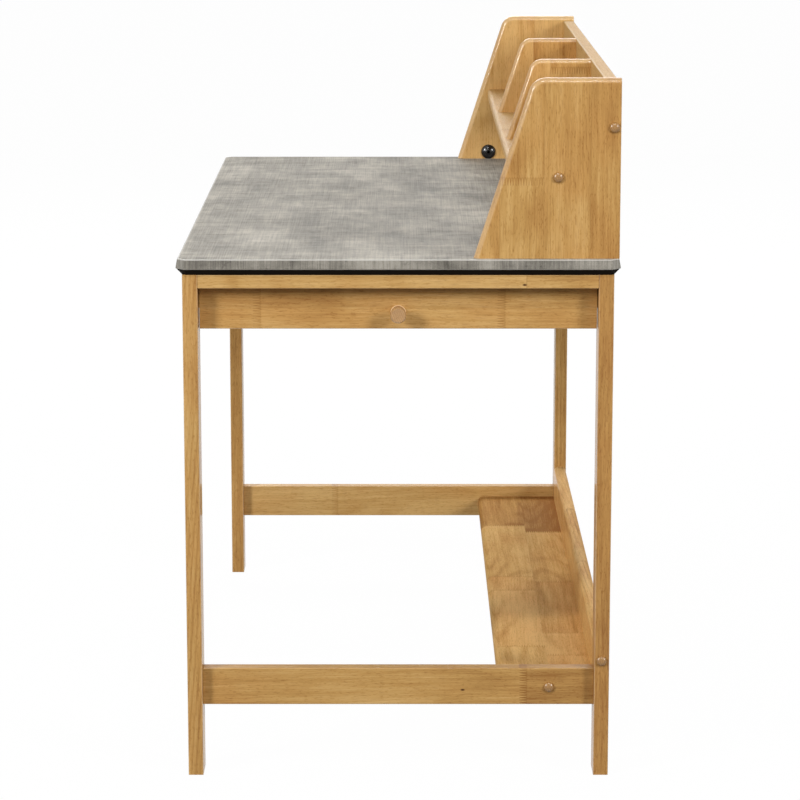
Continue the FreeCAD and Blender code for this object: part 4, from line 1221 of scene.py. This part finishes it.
class DESK_OT_screws(DeskStep, Operator):
    """Makes the pan-head screws of the brackets, runners and knob, with cross recesses"""

    bl_idname = "desk.screws"
    bl_label = "Screws"

    # Shares of the head's radius and height, of the head's height for the recess, and of the shank's
    # radius for the thread's root
    head_shares = ((1.0, 0.0), (1.0, 0.35), (0.93, 0.68), (0.78, 0.9), (0.6, 1.0))
    recess_depth_share = 0.7
    root_share = 0.8
    cells = 5
    # The sizes that the part's source gives its plain screws, and the thread's pitch, in metres
    head_radius = 0.0038
    head_height = 0.002
    shank_radius = 0.0019
    thread_pitch = 0.0012

    def screw(self, length):
        """One screw along Z with its head's seat at the origin, its shank below."""
        line = [(0, -length)]
        turns = int((length - self.head_height) / self.thread_pitch)
        root = self.shank_radius * self.root_share
        for i in range(turns):
            foot = -length + i * self.thread_pitch
            line += [(root, foot), (self.shank_radius, foot + self.thread_pitch / 2)]
        line.append((self.shank_radius, 0))
        line += [(r * self.head_radius, h * self.head_height) for r, h in self.head_shares]
        mesh = bmesh.new()
        recessed_head(mesh, line, self.cells, self.head_height * self.recess_depth_share)
        return mesh

    def execute(self, context):
        for node, body in (("bracket_screws", "desk"), ("runner_screws", "desk"), ("knob_screw", "drawer")):
            whole = bmesh.new()
            for low, high in node_solids(node):
                spans = high - low
                axis = max(range(3), key=lambda i: spans[i])
                # The head is at the low end of an upright screw, and at the desk's middle of any other
                heads_low = axis == 2 or low[axis] > 0
                seat = (low + high) / 2
                seat[axis] = low[axis] + self.head_height if heads_low else high[axis] - self.head_height
                direction = Vector((0, 0, 0))
                direction[axis] = -1 if heads_low else 1
                screw = self.screw(spans[axis] - self.head_height)
                add_copies(whole, screw, [standing(seat, direction)])
            material = zinc_material(node + "_zinc")
            finish_piece("threaded_" + node, whole, material, body, node)
        return {"FINISHED"}


class DESK_OT_fasteners(DeskStep, Operator):
    """Finishes the bolts, nuts, cam bolts, brackets, studs and dowels"""

    bl_idname = "desk.fasteners"
    bl_label = "Bolts, Brackets and Dowels"

    def execute(self, context):
        zinc = zinc_material("fastener_zinc")
        for node in (
            "rail_bolts",
            "leg_bolts",
            "hutch_bolts",
            "frame_barrel_nuts",
            "hutch_barrel_nuts",
            "apron_cam_bolts",
            "worktop_brackets",
            "connector_studs",
        ):
            give(node, zinc)
        timber = context.scene.desk_timber
        for node, seed in (("frame_dowels", 31), ("hutch_dowels", 32), ("drawer_dowels", 33)):
            plain = Layout("Y", "Z", tones=((0.3,),))
            give(node, timber_material(node, plain, seed, timber.box_pale, timber.box_golden))
        return {"FINISHED"}


class DESK_OT_studio(DeskStep, Operator):
    """Lays the floor, hangs the soft boxes and stands the camera at the photograph's angle"""

    bl_idname = "desk.studio"
    bl_label = "Studio"

    # Each soft box with its place, its width and height, and the setting that holds its power
    soft_boxes = (
        ("top_strip", (3.0, 0.0, 4.2), (1.8, 0.25), "top_power"),
        ("left_soft_box", (4.4, -5.0, 3.2), (1.4, 2.2), "left_power"),
        ("right_soft_box", (4.4, 5.0, 3.2), (1.4, 2.2), "right_power"),
        ("back_soft_box", (-4.8, 0.0, 3.4), (4.0, 2.0), "back_power"),
    )

    def execute(self, context):
        studio = context.scene.desk_studio
        self.lay_floor(studio)
        self.fill_room(context.scene, studio)
        desk = (desk_low + desk_high) / 2
        for name, place, size, power in self.soft_boxes:
            self.hang_light(name, Vector(place), desk, size, getattr(studio, power))
        self.stand_camera(context.scene, studio)
        context.scene.view_settings.view_transform = "Standard"
        return {"FINISHED"}

    def shows_white(self, shader):
        """1 for what the camera sees straight on, in gloss or through glass."""
        rays = {signal.socket.name: signal for signal in shader.outputs(shader.node("LightPath"))}
        return rays["Is Camera Ray"].most(rays["Is Glossy Ray"]).most(rays["Is Transmission Ray"])

    def lay_floor(self, studio):
        """A pale floor that is nearly white to the camera but keeps the desk's shadow."""
        mesh = bmesh.new()
        bmesh.ops.create_grid(mesh, x_segments=1, y_segments=1, size=studio.floor_size / 2)
        data = bpy.data.meshes.new("floor")
        mesh.to_mesh(data)
        mesh.free()
        shader = Shader("floor_white")
        seen = self.shows_white(shader)
        colour = shader.mix(seen, studio.floor_bounce, studio.floor_colour)
        matt = shader.node("BsdfDiffuse", {"Color": colour})
        white = shader.node("Emission", {"Color": (1, 1, 1), "Strength": 1.0})
        surface = shader.node("MixShader", (seen * studio.floor_glow, matt, white))
        data.materials.append(shader.output(surface))
        floor = bpy.data.objects.new("floor", data)
        bpy.context.scene.collection.objects.link(floor)

    def fill_room(self, scene, studio):
        """Even light from all round, and plain white for the camera and for gloss."""
        shader = Shader("room", bpy.data.worlds)
        light = shader.node("Background", {"Color": (1, 1, 1), "Strength": studio.room_light})
        white = shader.node("Background", {"Color": (1, 1, 1), "Strength": 1.0})
        surface = shader.node("MixShader", (self.shows_white(shader), light, white))
        scene.world = shader.output(surface, "World")

    def hang_light(self, name, place, target, size, power):
        """One rectangular soft box that faces the target."""
        lamp = bpy.data.lights.new(name, "AREA")
        lamp.shape = "RECTANGLE"
        lamp.size, lamp.size_y = size
        lamp.energy = power
        light = bpy.data.objects.new(name, lamp)
        light.location = place
        light.rotation_euler = (target - place).to_track_quat("-Z", "Y").to_euler()
        bpy.context.scene.collection.objects.link(light)

    def stand_camera(self, scene, studio):
        """The camera looks along -X and a little down."""
        lens = bpy.data.cameras.new("camera")
        lens.lens = studio.camera_lens
        lens.clip_end = studio.floor_size
        camera = bpy.data.objects.new("camera", lens)
        camera.location = studio.camera_place
        camera.rotation_euler = (math.pi / 2 - studio.camera_pitch, 0, math.pi / 2)
        scene.collection.objects.link(camera)
        scene.camera = camera


SETTINGS = {
    "desk_timber": TimberFinish,
    "desk_stone": StoneFinish,
    "desk_fittings": FittingFinish,
    "desk_studio": StudioSettings,
}
OPERATORS = (
    DESK_OT_legs,
    DESK_OT_rails,
    DESK_OT_aprons,
    DESK_OT_lower_shelf,
    DESK_OT_hutch,
    DESK_OT_drawer_front,
    DESK_OT_drawer_box,
    DESK_OT_knob,
    DESK_OT_button_plugs,
    DESK_OT_worktop,
    DESK_OT_connectors,
    DESK_OT_cams,
    DESK_OT_screws,
    DESK_OT_fasteners,
    DESK_OT_studio,
)


class DESK_PT_finishes(Panel):
    """Lists the desk's settings and the operators that dress it"""

    bl_idname = "DESK_PT_finishes"
    bl_label = "Writing Desk"
    bl_space_type = "VIEW_3D"
    bl_region_type = "UI"
    bl_category = "Desk"

    def draw(self, context):
        for name, group in SETTINGS.items():
            box = self.layout.box()
            box.label(text=group.__doc__)
            for prop in group.__annotations__:
                box.prop(getattr(context.scene, name), prop)
        for operator in OPERATORS:
            self.layout.operator(operator.bl_idname)


def register():
    for group in (*SETTINGS.values(), *OPERATORS, DESK_PT_finishes):
        bpy.utils.register_class(group)
    for name, group in SETTINGS.items():
        setattr(bpy.types.Scene, name, PointerProperty(type=group))


def unregister():
    for name in SETTINGS:
        delattr(bpy.types.Scene, name)
    for group in reversed((*SETTINGS.values(), *OPERATORS, DESK_PT_finishes)):
        bpy.utils.unregister_class(group)


def main():
    """Dresses the desk and sets up its studio."""
    register()
    for operator in OPERATORS:
        getattr(bpy.ops.desk, operator.bl_idname.split(".")[1])()


if __name__ == "__main__":
    main()
